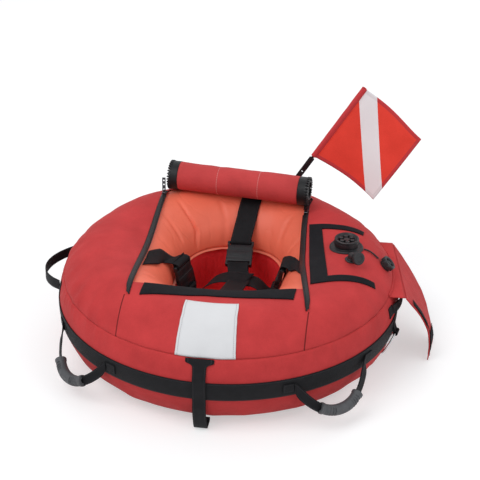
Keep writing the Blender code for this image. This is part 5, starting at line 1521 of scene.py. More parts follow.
@dataclass
class RolledLid:
    """The lid, rolled back on the rear of the cover, with its zip tapes at the roll's ends."""

    radius: float = 0.038
    pitch: float = 0.0075
    ply: float = 0.0032
    turns: float = 2.4
    centre: Pair = (-0.019, 0.236)
    length: float = 0.302
    turn: float = radians(-4.0)
    tail: float = 0.026
    zip_width: float = 0.021
    tooth_pitch: float = 0.0056
    tooth: Triple = (0.0076, 0.003, 0.004)
    row_depth: float = 0.0011

    @property
    def base(self) -> Matrix:
        """The roll's frame: X along it, Y towards the rear, Z up, with its origin at the axis foot."""
        return (shift(*self.centre, FORM.top_height + 0.0003) @ Matrix.Rotation(self.turn, 4, "Z"))

    def spiral(self, share: float) -> Pair:
        """The ply's middle line as (y, z): the tail on the cover, then the turns inwards."""
        tail_share = 0.06
        if share < tail_share:
            return mix(self.tail, 0.0, share / tail_share), self.ply / 2
        turn = (share - tail_share) / (1 - tail_share) * self.turns
        reach = self.radius - self.ply / 2 - self.pitch * turn
        angle = -pi / 2 - TAU * turn
        return reach * cos(angle), self.radius + reach * sin(angle)

    def place(self, along: float, share: float, proud: float = 0.0) -> Vector:
        """A point of the ply at a distance along the roll, with the cloth's slack."""
        y, z = self.spiral(share)
        off = Vector((y, z - self.radius))
        slack = clip((share - 0.1) * 6)
        swell = 0.0014 * wobble(along, y * 2, z * 2, 11.0) + 0.0007 * wobble(along, y, z, 40.0)
        swell -= self.row_depth * sum(bell(along - (row - 0.5) * self.length, 0.01)
                                      for row in Finishes.LID.stitch_shares)
        if off.length > 1e-6:
            off = off * (1 + (swell * slack - 0.0006 * slack + proud) / off.length)
        return self.base @ Vector((along, off.x, self.radius + off.y))

    def build(self) -> None:
        """Make the rolled cloth and the two zip tapes."""
        span = sum(dist(self.spiral(i / 200), self.spiral((i + 1) / 200)) for i in range(200))

        def cloth(u: float, v: float) -> Vector:
            return self.place((u - 0.5) * self.length, v)
        shape = laid(cloth, (74, 150), (self.length, span))
        publish("lid_cloth", shape, Finishes.LID, "lid", ["rolled_lid"], wall=0.0022,
                side=Side.BOTH, crease=60)
        for side, sign in (("left", -1.0), ("right", 1.0)):
            near = self.length / 2 + 0.0003

            def tape(u: float, v: float, sign: float = sign, near: float = near) -> Vector:
                across = u if sign > 0 else 1 - u
                return self.place(sign * (near + across * self.zip_width), v, 0.0002)
            shape = laid(tape, (8, 150), (self.zip_width, span))
            publish(f"lid_{side}_tape", shape, Finishes.ZIP, "lid", [f"lid_zip_{side}"], wall=0.0026,
                    side=Side.BOTH, crease=60)
            bench = Bench()
            count = int(span / self.tooth_pitch)
            for index in range(3, count):
                share = (index + 0.5) / count
                here = self.place(sign * (near + self.zip_width + 0.0008), share, 0.0006)
                there = self.place(sign * (near + self.zip_width + 0.0008),
                                   min(1.0, share + 0.004), 0.0006)
                outward = self.base.to_3x3() @ Vector((sign, 0, 0))
                bench.block(self.tooth, frame_at(here, outward, there - here))
            publish(f"lid_{side}_teeth", bench.shape, Finishes.PLASTIC, "lid", crease=30)


# Straps and buckles


class Anchor(Enum):
    """Which strap of the well a buckle ends."""

    REAR = "rear"
    LEFT = "left"
    RIGHT = "right"


@dataclass(frozen=True)
class Buckle:
    """A side-release buckle: a prong half on the upper strap and a socket half on the cross."""

    anchor: Anchor
    top: Triple
    foot: Triple
    across: Triple
    width: float = 0.064
    thickness: float = 0.012
    male_thickness: float = 0.009
    male_length: float = 0.03
    female_length: float = 0.044
    bar_length: float = 0.004
    slot_length: float = 0.007
    slot_width: float = 0.053
    prong_length: float = 0.02
    gap: float = 0.0003
    strap_thickness: float = 0.0018
    strap_seat: float = 0.0012

    @property
    def base(self) -> Matrix:
        """The buckle's frame: X down its length, Y across it."""
        return frame_at(self.top, Vector(self.foot) - Vector(self.top), self.across)

    @property
    def tail(self) -> float:
        """The place of the socket half's far end."""
        return self.male_length + self.gap + self.female_length

    def bar_rows(self, bar: float, thickness: float, side: float, run: float) -> list[Row]:
        """Rows of a strap that passes a bar, turns down through the slot and comes back."""
        half = thickness / 2 + self.strap_seat + self.strap_thickness / 2
        slot = self.bar_length + self.slot_length / 2
        inside = 0.33 * thickness
        path = ((-run, half), (-0.002, half), (self.bar_length, half), (slot, inside),
                (slot, -inside), (self.bar_length, -half), (-0.002, -half), (-run, -half))
        across = self.base.to_3x3() @ Vector((0, 1, 0))
        return [(self.base @ Vector((bar + side * x, 0, z)), across) for x, z in path]

    def build(self) -> None:
        """Make both halves."""
        name = self.anchor.value
        male = Bench(self.base)
        self.ladder(male, 0.0, 1.0, self.male_thickness)
        body_start = self.bar_length + self.slot_length
        body = self.male_length - body_start
        male.block((body, self.width - 0.003, self.male_thickness - 0.001),
                   shift(body_start + body / 2, 0, 0), 0.0018, 3)
        for offset in (-0.016, 0.0, 0.016):
            male.block((body * 0.7, 0.0022, self.male_thickness + 0.0006),
                       shift(body_start + body / 2, offset, 0), 0.0006)
        male.block((0.004, self.width, self.male_thickness),
                   shift(self.male_length - 0.002, 0, 0), 0.0009)
        reach = (self.width - 0.007) / 2 - 0.0022 - 0.0008
        for offset, width in ((-reach, 0.0066), (0.0, 0.01), (reach, 0.0066)):
            male.block((self.prong_length, width, 0.0048),
                       shift(self.male_length + self.prong_length / 2 - 0.001, offset, 0),
                       0.0012)
        publish(f"{name}_prong_half", male.shape, Finishes.PLASTIC, f"{name}_buckle",
                [f"{name}_buckle_male"])
        female = Bench(self.base)
        mouth = self.male_length + self.gap
        pocket = self.prong_length + 0.0008
        plate = (self.thickness - 0.0066) / 2
        for side in (-1, 1):
            height = side * (self.thickness - plate) / 2
            female.block((pocket + 0.002, self.width - 0.0016, plate),
                         shift(mouth + pocket / 2 + 0.001, 0, height), 0.0011, 3)
            female.block((pocket * 0.62, 0.03, 0.001),
                         shift(mouth + pocket * 0.52, 0, side * self.thickness / 2), 0.0004)
            female.block((pocket / 2 - 0.001, 0.0022, 0.0064),
                         shift(mouth + pocket * 0.75 + 0.001,
                                             side * (self.width / 2 - 0.0011), 0), 0.0004)
            female.block((0.004, 0.0022, 0.0064),
                         shift(mouth + 0.002, side * (self.width / 2 - 0.0011), 0), 0.0004)
        solid_start = mouth + pocket
        solid = self.tail - self.bar_length - self.slot_length - solid_start
        female.block((solid, self.width, self.thickness),
                     shift(solid_start + solid / 2, 0, 0), 0.002, 3)
        for offset in range(-3, 4):
            female.block((0.0015, 0.003, self.thickness + 0.0008),
                         shift(solid_start + solid / 2, offset * 0.007, 0), 0.0004)
        self.ladder(female, self.tail, -1.0, self.thickness)
        publish(f"{name}_socket_half", female.shape, Finishes.PLASTIC, "float",
                [f"{name}_buckle_female"])

    def ladder(self, bench: Bench, end: float, side: float, thickness: float) -> None:
        """A strap bar and the two cheeks beside its slot."""
        bench.block((self.bar_length, self.width, thickness),
                    shift(end + side * self.bar_length / 2, 0, 0), 0.0014, 3)
        run = self.slot_length + 0.003
        cheek = (self.width - self.slot_width) / 2
        for way in (-1, 1):
            bench.block((run, cheek, thickness - 0.0006),
                        shift(end + side * (self.bar_length + self.slot_length / 2),
                                            way * (self.width - cheek) / 2, 0), 0.0012, 3)


@dataclass
class InnerStraps:
    """The straps that meet in the middle of the well, three of them buckled."""

    width: float = 0.05
    thickness: float = 0.0018
    lift: float = 0.0022
    growth: float = 0.0011
    return_run: float = 0.012
    cross_sag: float = 0.008
    centre: Triple = (0.02, 0.03, 0.15)
    rear: Buckle = Buckle(Anchor.REAR, (0.002, 0.15, 0.184), (0.008, 0.0765, 0.154), (1, 0, 0))
    left: Buckle = Buckle(Anchor.LEFT, (-0.115, 0.0, 0.198), (-0.098, 0.0, 0.118), (0.34, 0.94, 0))
    right: Buckle = Buckle(Anchor.RIGHT, (0.129, 0.02, 0.208), (0.1065, 0.02, 0.138), (0, -1, 0))
    rear_places: tuple[Pair, ...] = ((0.012, 0.2495), (0.0106, 0.236), (0.0092, 0.222), (0.0078, 0.208),
                                     (0.0066, 0.196))
    left_rear: tuple[Pair, ...] = ((-0.185, -0.036), (-0.178, -0.022), (-0.171, -0.01),
                                   (-0.163, 0.0))
    left_front: tuple[Pair, ...] = ((-0.1805, -0.118), (-0.172, -0.102), (-0.163, -0.084),
                                    (-0.154, -0.064))
    left_bend: tuple[Triple, ...] = ((-0.146, -0.014, 0.2085), (-0.131, -0.003, 0.206),
                                     (-0.1165, 0.0, 0.2045))
    bend_tilt: float = -0.22
    right_rear: tuple[Pair, ...] = ((0.1665, 0.006), (0.16, 0.019), (0.154, 0.03))
    right_front: tuple[Pair, ...] = ((0.18, -0.076), (0.171, -0.058), (0.162, -0.038))
    right_bend: tuple[Triple, ...] = ((0.149, 0.004, 0.22), (0.1395, 0.014, 0.219),
                                      (0.1285, 0.02, 0.2155))
    front_ys: tuple[float, ...] = (-0.205, -0.214, -0.225, -0.238, -0.25)
    left_arm: tuple[Triple, ...] = ((-0.092, 0.0, 0.109), (-0.08, 0.005, 0.11),
                                    (-0.063, 0.012, 0.126), (-0.044, 0.02, 0.1445))
    right_arm: tuple[Triple, ...] = ((0.096, 0.02, 0.126), (0.087, 0.021, 0.127),
                                     (0.071, 0.025, 0.1405))

    def guide(self, places: Sequence[Pair]) -> list[Vector]:
        """Points on the air tube's slope, clearer of it the further they lie from the cover."""
        return [WELL.on_tube(x, y, self.lift + self.growth * index)
                for index, (x, y) in enumerate(places)]

    def webbing(self, name: str, rows: list[Row], nodes: Sequence[str] = (),
                moving: str = "") -> bpy.types.Object:
        """One strap, between the float and a buckle half.

        Args:
            name: the piece's name.
            rows: its centres and the directions across it.
            nodes: the solids that it stands for.
            moving: the body at its far end, where that one moves.
        Returns:
            The piece.
        """
        shape = ribbon(rows, self.width, 4 * (len(rows) - 1), 8)
        body = "" if moving else "float"
        piece = sewn(name, shape, [self.width], self.thickness, body, nodes, Side.BOTH)
        if moving:
            tuple(rows[0][0])
            tuple(rows[-8][0])
            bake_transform(piece)
        return piece

    def build(self) -> None:
        """Make the buckles and straps."""
        for buckle in (self.rear, self.left, self.right):
            buckle.build()
        self.upper(self.rear, self.guide(self.rear_places))
        self.slanted(self.left, zip(self.left_front, self.left_rear), self.left_bend)
        self.slanted(self.right, zip(self.right_rear, self.right_front), self.right_bend)
        centre, across = Vector(self.centre), Vector((1, 0, 0))
        front = self.guide([(centre.x, y) for y in reversed(self.front_ys)])[::-1]
        rows = self.rear.bar_rows(self.rear.tail, self.rear.thickness, -1, self.return_run)[::-1]
        rows += [(centre, across)]
        for share in (0.25, 0.5, 0.75):
            sag = Vector((0, 0, self.cross_sag * sin(pi * share)))
            rows.append((centre.lerp(front[0], share) - sag, across))
        rows += [(point, across) for point in front]
        self.webbing("well_cross", rows, ["strap_cross"])
        for buckle, bend, way, rise in ((self.left, self.left_arm, 1, 0.0026),
                                        (self.right, self.right_arm, -1, -0.0026)):
            rows = buckle.bar_rows(buckle.tail, buckle.thickness, -1, self.return_run)[::-1]
            side = buckle.base.to_3x3() @ Vector((0, 1, 0))
            path = [Vector(point) for point in bend]
            path += [centre + Vector((-way * 0.03, 0, rise)), centre + Vector((way * 0.024, 0, rise))]
            rows = rows[:-1] + [(point, side) for point in path]
            self.webbing(f"well_{buckle.anchor.value}_arm", rows)

    def slanted(self, buckle: Buckle, ends: Iterable[tuple[Pair, Pair]],
                bend: Sequence[Triple]) -> None:
        """A strap that crosses the air tube at a slant before it reaches its buckle.

        Args:
            buckle: where it ends.
            ends: the two ends of its rows on the air tube, in plan.
            bend: the centres of its rows between the air tube and the buckle.
        """
        across = buckle.base.to_3x3() @ Vector((0, 1, 0))
        edges: list[tuple[Vector, Vector, Vector]] = []
        for index, (first, last) in enumerate(ends):
            middle = Vector(first).lerp(Vector(last), 0.5)
            edges.append(tuple(WELL.on_tube(*spot, self.lift + self.growth * index)
                               for spot in (first, middle, last)))
        straight = [(Vector(point), across + Vector((0, 0, self.bend_tilt * (1 - index / 2))))
                    for index, point in enumerate(bend)]
        straight += buckle.bar_rows(0.0, buckle.male_thickness, 1, self.return_run)[1:]
        for centre, way in straight:
            half = way.normalized() * (self.width / 2)
            edges.append((centre - half, centre, centre + half))
        first, middle, last = ([row[i] for row in edges] for i in range(3))
        length = length_of(middle)

        def place(u: float, v: float) -> Vector:
            a, b, c = (smooth_point(line, v) for line in (first, middle, last))
            return a * (1 - u) * (1 - 2 * u) + b * 4 * u * (1 - u) + c * u * (2 * u - 1)
        name = buckle.anchor.value
        shape = laid(place, (10, 5 * (len(edges) - 1)), (self.width, length))
        piece = sewn(f"{name}_well_strap", shape, [self.width], self.thickness, "",
                     [f"{name}_inner_strap"], Side.BOTH)
        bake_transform(piece)

    def upper(self, buckle: Buckle, guide: list[Vector]) -> None:
        """The strap from the cover's edge down to a buckle's bar."""
        across = buckle.base.to_3x3() @ Vector((0, 1, 0))
        rows = [(point, across) for point in guide]
        rows += buckle.bar_rows(0.0, buckle.male_thickness, 1, self.return_run)[1:]
        name = buckle.anchor.value
        self.webbing(f"{name}_well_strap", rows, [f"{name}_inner_strap"], f"{name}_buckle")


@dataclass
class FrontStrap:
    """The strap from the top seam over the belt, with its loop near the floor."""

    thickness: float = 0.002
    turn: float = radians(1.5)
    rows: tuple[Pair, ...] = ((0.191, 0.063), (0.183, 0.063), (0.176, 0.034), (0.16, 0.03),
                              (0.145, 0.03), (0.13, 0.03), (0.112, 0.03), (0.092, 0.03))
    loop: tuple[Pair, ...] = ((0.401, 0.07), (0.396, 0.045), (0.39, 0.025), (0.384, 0.012),
                              (0.378, 0.0045), (0.366, 0.004), (0.352, 0.004), (0.347, 0.007),
                              (0.35, 0.0105), (0.36, 0.012))

    def build(self) -> None:
        """Make the strap as one ribbon that widens into its sewn tab."""
        points = []
        for height, width in self.rows:
            lift = 0.0043 if height < 0.1495 else LAY
            radius, z = FORM.section(FORM.angle_at_height(height), lift)
            points.append(Vector((radius, z, width)))
        points += [Vector((radius, z, 0.03)) for radius, z in self.loop]
        steps = 4 * (len(points) - 1)
        spin = Matrix.Rotation(-pi / 2 + self.turn, 3, "Z")

        def place(u: float, v: float) -> Vector:
            spot = smooth_point(points, v)
            if v > 12 / 17:
                spot.y = max(spot.y, 0.0016)
            width = max(0.0295, min(0.063, spot.z))
            return spin @ Vector((spot.x, (0.5 - u) * width, spot.y))
        length = length_of([point.xy for point in points])
        shape = laid(place, (8, steps), (0.03, length))
        faced(shape, lambda spot: sideways(spot) if spot.z > 0.05 else Vector())
        sewn("front_strap_webbing", shape, [0.03], self.thickness, nodes=["front_strap"])


# Handles on the side


def handle_rows(turn: float, half_angle: float, radius: float, reach: float, height: float,
                drop: float, squareness: float, count: int) -> list[Row]:
    """Rows of a webbing handle that stands out from the side between its ends.

    Args:
        turn: the handle's middle.
        half_angle: from there to its ends.
        radius: of its ends.
        reach: how far its middle stands out.
        height: of its ends.
        drop: how far its middle hangs.
        squareness: how straight the hanging part is.
        count: spans between rows.
    Returns:
        The centres and the directions across.
    """
    points = []
    for index in range(count + 1):
        s = 2 * index / count - 1
        points.append(polar(radius + reach * (1 - s * s), turn + s * half_angle,
                            height - drop * (1 - abs(s) ** squareness)))
    rows = []
    for index, point in enumerate(points):
        ahead = points[min(count, index + 1)] - points[max(0, index - 1)]
        normal = Vector((point.x, point.y, 0)).normalized()
        rows.append((point, normal.cross(ahead)))
    rows[0] = (rows[0][0], Vector((0, 0, 1)))
    rows[-1] = (rows[-1][0], Vector((0, 0, 1)))
    return rows


def side_patch(name: str, turn: float, height: float, size: Pair, lift: float,
               wall: float) -> bpy.types.Object:
    """A sewn-down end of webbing on the side, with its box of stitches.

    Args:
        name: the piece's name.
        turn: its middle's turn.
        height: its middle's height.
        size: its length along the side and its width up it.
        lift: its distance from the cloth.
        wall: its thickness.
    Returns:
        The piece.
    """
    low = FORM.angle_at_height(height - size[1] / 2)
    high = FORM.angle_at_height(height + size[1] / 2)

    def place(u: float, v: float) -> Vector:
        return FORM.beside(mix(low, high, v), turn, (u - 0.5) * size[0], lift)
    shape = faced(laid(place, (10, 8), size), sideways)
    return sewn(name, shape, size, wall, rounding=0.0004)


@dataclass
class GripHandles:
    """Four rubber grips on webbing that hangs below the belt."""

    spread: float = radians(45.6)
    half_angle: float = radians(14.1)
    end_radius: float = 0.4054
    reach: float = 0.033
    height: float = 0.115
    drop: float = 0.067
    squareness: float = 2.2
    grip_length: float = 0.136
    grip_radius: float = 0.0135
    webbing: float = 0.022
    webbing_thickness: float = 0.0024
    tack: Pair = (0.026, 0.022)
    tack_height: float = 0.115
    tack_lift: float = 0.0031
    slots: int = 4
    first_slot: float = 0.0135
    slot_pitch: float = 0.0062
    slot: Triple = (0.0019, 0.19, 0.0022)
    long_slot: Triple = (0.012, 0.055, 0.0024)

    @property
    def turns(self) -> dict[str, float]:
        """Each handle's turn."""
        quarter = pi / 2
        return {"front_left": -quarter - self.spread, "front_right": -quarter + self.spread,
                "rear_left": quarter + self.spread, "rear_right": quarter - self.spread}

    def build(self) -> None:
        """Make the handles and their sewn ends."""
        offset = self.half_angle + (self.tack[0] / 2 + 0.0003) / FORM.outer_radius
        for name, turn in self.turns.items():
            self.handle(name, turn)
            for side in (-1, 1):
                side_patch(f"{name}_tack_{'ab'[side > 0]}", turn + side * offset, self.tack_height,
                           self.tack, self.tack_lift, 0.0022)

    def handle(self, name: str, turn: float) -> None:
        """One handle's webbing and grip."""
        rows = handle_rows(turn, self.half_angle, self.end_radius, self.reach, self.height,
                           self.drop, self.squareness, 12)
        shape = ribbon(rows, self.webbing, 72, 6)
        sewn(f"{name}_handle_webbing", shape, [self.webbing], self.webbing_thickness, f"{name}_handle",
             [f"{name}_webbing"], Side.BOTH)
        inner = [row[0] for row in rows if (row[0] - rows[6][0]).length < self.grip_length / 2]
        steps = 130
        path = [smooth_point(inner, i / steps) for i in range(steps + 1)]
        length = length_of(path)
        publish(f"{name}_grip_rubber", self.grip(path, length), Finishes.GRIP, f"{name}_handle",
                [f"{name}_grip"], crease=50)

    @staticmethod
    def sunk(off: float, around: float, slot: Triple, edges: Pair) -> float:
        """How deep a slot of the grip is.

        Args:
            off: the distance from its middle along the grip.
            around: the share of a turn from its middle round the grip.
            slot: its half length, its half share of a turn and its depth.
            edges: how wide its sloping edges are, along and round the grip.
        Returns:
            The depth.
        """
        half, reach, depth = slot
        if off >= half or around >= reach:
            return 0.0
        return depth * min(1.0, (half - off) / edges[0], (reach - around) / edges[1])

    def grip(self, path: list[Vector], length: float) -> bmesh.types.BMesh:
        """The grip: a bar with end collars, rows of small slots and a long middle one."""
        steps, sides = len(path) - 1, 44
        middle = path[steps // 2]
        outward = Vector((middle.x, middle.y, 0)).normalized()

        def radius_at(u: float, v: float) -> float:
            at = v * length
            end = min(at, length - at)
            body = self.grip_radius * (0.88 + 0.07 * sin(pi * v))
            collar = self.grip_radius * 0.99
            radius = mix(collar, body, clip((end - 0.007) / 0.0015))
            radius *= 1 - 0.16 * max(0.0, 1 - end / 0.0018) ** 2
            around = (u - 0.25 + 0.5) % 1.0 - 0.5
            for index in range(self.slots):
                off = abs(end - self.first_slot - self.slot_pitch * index)
                radius -= self.sunk(off, abs(around), self.slot, (0.0006, 0.02))
            return radius - self.sunk(abs(at - length / 2), abs(around), self.long_slot, (0.001, 0.012))
        frames = []
        for index in range(steps + 1):
            ahead = (path[min(steps, index + 1)] - path[max(0, index - 1)]).normalized()
            across = (outward - ahead * outward.dot(ahead)).normalized()
            frames.append((ahead.cross(across), across))

        def place(u: float, v: float) -> Vector:
            index = round(v * steps)
            side, across = frames[index]
            radius = radius_at(u, v)
            return path[index] + radius * (side * cos(TAU * u) + across * sin(TAU * u))
        shape = laid(place, (sides, steps), (TAU * self.grip_radius, length))
        bmesh.ops.remove_doubles(shape, verts=shape.verts, dist=1e-5)
        rims = [edge for edge in shape.edges if edge.is_boundary]
        ends = bmesh.ops.extrude_edge_only(shape, edges=rims)["geom"]
        new = [item for item in ends if isinstance(item, bmesh.types.BMVert)]
        for vert in new:
            close = path[0] if (vert.co - path[0]).length < (vert.co - path[-1]).length else path[-1]
            vert.co = close + (vert.co - close) * 0.5
        return shape


@dataclass
class SideLoops:
    """The two webbing loops on the upper side, with their sewn ends."""

    half_angle: float = radians(12.5)
    height: float = 0.163
    webbing: float = 0.025
    thickness: float = 0.002
    tack: float = 0.022
    drop: float = 0.006
    places: tuple[tuple[str, float, float], ...] = (("left", radians(182.5), 0.043),
                                                    ("right", radians(4.0), 0.012))

    def build(self) -> None:
        """Make both loops."""
        radius, _ = FORM.section(FORM.angle_at_height(self.height), self.thickness + 0.0003)
        offset = self.half_angle + (self.tack / 2 + 0.0012) / FORM.outer_radius
        for name, turn, reach in self.places:
            rows = handle_rows(turn, self.half_angle, radius, reach, self.height, self.drop, 2.0, 10)
            shape = ribbon(rows, self.webbing, 60, 6)
            sewn(f"{name}_side_loop", shape, [self.webbing], self.thickness, f"{name}_loop",
                 [f"{name}_loop"], Side.BOTH)
            for end, side in (("front", -1), ("rear", 1)):
                way = side if turn < pi / 2 else -side
                piece = side_patch(f"{name}_loop_{end}_patch", turn + way * offset, self.height,
                                   (self.tack, self.webbing), 0.0004, self.thickness)
                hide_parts(f"{name}_loop_{end}_tack")


@dataclass
class RingTab:
    """The steel ring hanging in a webbing tab on the belt."""

    turn: float = radians(-7.0)
    radius: float = 0.0325
    wire: float = 0.0025
    top_radius: float = 0.4088
    top_height: float = 0.1
    lean: float = radians(26.5)
    tab_width: float = 0.02
    tab_top: float = 0.128
    bore: float = 0.0046

    def build(self) -> None:
        """Make the ring and its tab."""
        top = polar(self.top_radius, self.turn, self.top_height)
        tangent = polar(1, self.turn + pi / 2, 0)
        down = polar(-sin(self.lean), self.turn, -cos(self.lean))
        base = frame_at(top + down * self.radius, tangent, down)
        bench = Bench()
        circle = [(self.radius + self.wire * cos(TAU * i / 20), self.wire * sin(TAU * i / 20))
                  for i in range(20)]
        bench.turned(circle, base, 96)
        publish("steel_ring", bench.shape, Finishes.STEEL, "ring", ["ring"])
        out = polar(1, self.turn, 0)
        centre = top - Vector((0, 0, 0.0008))
        wrap = self.bore + 0.0005
        path = [polar(0.403, self.turn, self.tab_top), polar(0.4036, self.turn, self.tab_top - 0.01)]
        path += [centre + out * wrap * cos(a) + Vector((0, 0, wrap * sin(a)))
                 for a in (radians(100 - 30 * i) for i in range(10))]
        path += [polar(0.4024, self.turn, self.top_height + 0.012)]
        shape = ribbon([(point, tangent) for point in path], self.tab_width, 48, 4)
        sewn("ring_tab_webbing", shape, [self.tab_width], 0.0013, side=Side.BOTH)


@dataclass
class ValveFlap:
    """The flap that hangs open from the top seam, with its hem and its own pile strip."""

    turn: float = radians(12.0)
    half_width: float = 0.13
    fold_radius: float = 0.4045
    fold_height: float = 0.187
    thickness: float = 0.003
    foot_height: float = 0.0035
    rear_reach: float = 0.09
    front_reach: float = 0.064
    rear_inset: float = 0.145
    front_inset: float = 0.022
    bulge: float = 0.022
    fold_depth: float = 0.0035
    hinge_gap: float = 0.0024
    hem_thickness: float = 0.002
    hem_lap: float = 0.5
    hem_setback: float = 0.0008
    hem_width: float = 0.012
    cloth_length: float = 0.205
    strip_width: float = 0.02
    outer: tuple[Pair, ...] = ((0.03, 0.13), (0.03, 0.955), (0.95, 0.955))
    inner: tuple[Pair, ...] = ((0.13, 0.13), (0.205, 0.825), (0.95, 0.825))

    def spot(self, u: float, v: float, lift: float) -> Vector:
        """A point on the flap: u from its front edge to its rear edge, v down from the fold."""
        front = Vector((-self.half_width, 0)).lerp(
            Vector((-self.half_width + self.front_inset, self.front_reach)), v)
        rear = Vector((self.half_width, 0)).lerp(
            Vector((self.half_width - self.rear_inset, self.rear_reach)), v)
        at = front.lerp(rear, u)
        folds = self.fold_depth * wobble(at.x, v * 0.05, 0.4, 16.0) * sin(
            pi * min(1.0, v * 1.1)) ** 0.5
        folds += 0.001 * wobble(at.x, v * 0.2, 2.4, 45.0) * min(1.0, v * 8)
        out = at.y + self.bulge * sin(pi * v) + lift + folds * min(1.0, v * 5)
        height = mix(self.fold_height - self.hinge_gap, self.foot_height, v)
        fold = polar(self.fold_radius, self.turn, 0)
        along = polar(1, self.turn + pi / 2, 0)
        return fold + along * at.x + polar(out, self.turn, 0) + Vector((0, 0, height + lift / 2))

    def build(self) -> None:
        """Make the hem, the flap and its strip."""
        fold = polar(self.fold_radius, self.turn, self.fold_height)
        along = polar(1, self.turn + pi / 2, 0)
        out = polar(1, self.turn, 0)

        def hem(u: float, v: float) -> Vector:
            sideways = mix(-self.half_width, self.half_width, u)
            seam = FORM.beside(FORM.seam_angle - radians(1.0), self.turn, sideways, 0.0006)
            lap = FORM.beside(FORM.seam_angle + radians(3.0), self.turn, sideways, 0.0002)
            if v < self.hem_lap:
                return lap.lerp(seam, v / self.hem_lap)
            edge = fold + along * sideways - out * self.hem_setback
            return seam.lerp(edge, (v - self.hem_lap) / (1 - self.hem_lap))
        shape = faced(laid(hem, (60, 8), (2 * self.half_width, self.hem_width)),
                      lambda at: Vector((at.x, at.y, 0.5)))
        edged(shape, None, self.hem_width)
        publish("flap_hem_cloth", shape, Finishes.HEMMED, nodes=["flap_hem"],
                wall=self.hem_thickness, side=Side.OUT, crease=50)
        size = (2 * self.half_width, self.cloth_length)
        shape = faced(laid(lambda u, v: self.spot(1 - u, v, 0.0), (60, 48), size), sideways)
        edged(shape, *size, hung=True)
        flap = publish("valve_flap_cloth", shape, Finishes.HEMMED, "flap", ["valve_flap"],
                       wall=0.0024, side=Side.OUT, crease=60)
        self.strip()

    def strip(self) -> None:
        """The pile strip along two of its edges."""
        def line(points: tuple[Pair, ...], share: float) -> Vector:
            index = min(int(share * 2), 1)
            return Vector(points[index]).lerp(Vector(points[index + 1]), share * 2 - index)

        def place(u: float, v: float) -> Vector:
            at = line(self.inner, v).lerp(line(self.outer, v), u)
            return self.spot(at.x, at.y, self.thickness + LAY)
        shape = faced(laid(place, (6, 60), (self.strip_width, 0.3)), sideways)
        sewn("flap_strip_pile", shape, [self.strip_width], 0.001, "flap", ["flap_fastener"],
             finish=Finishes.PILE)


# Valves


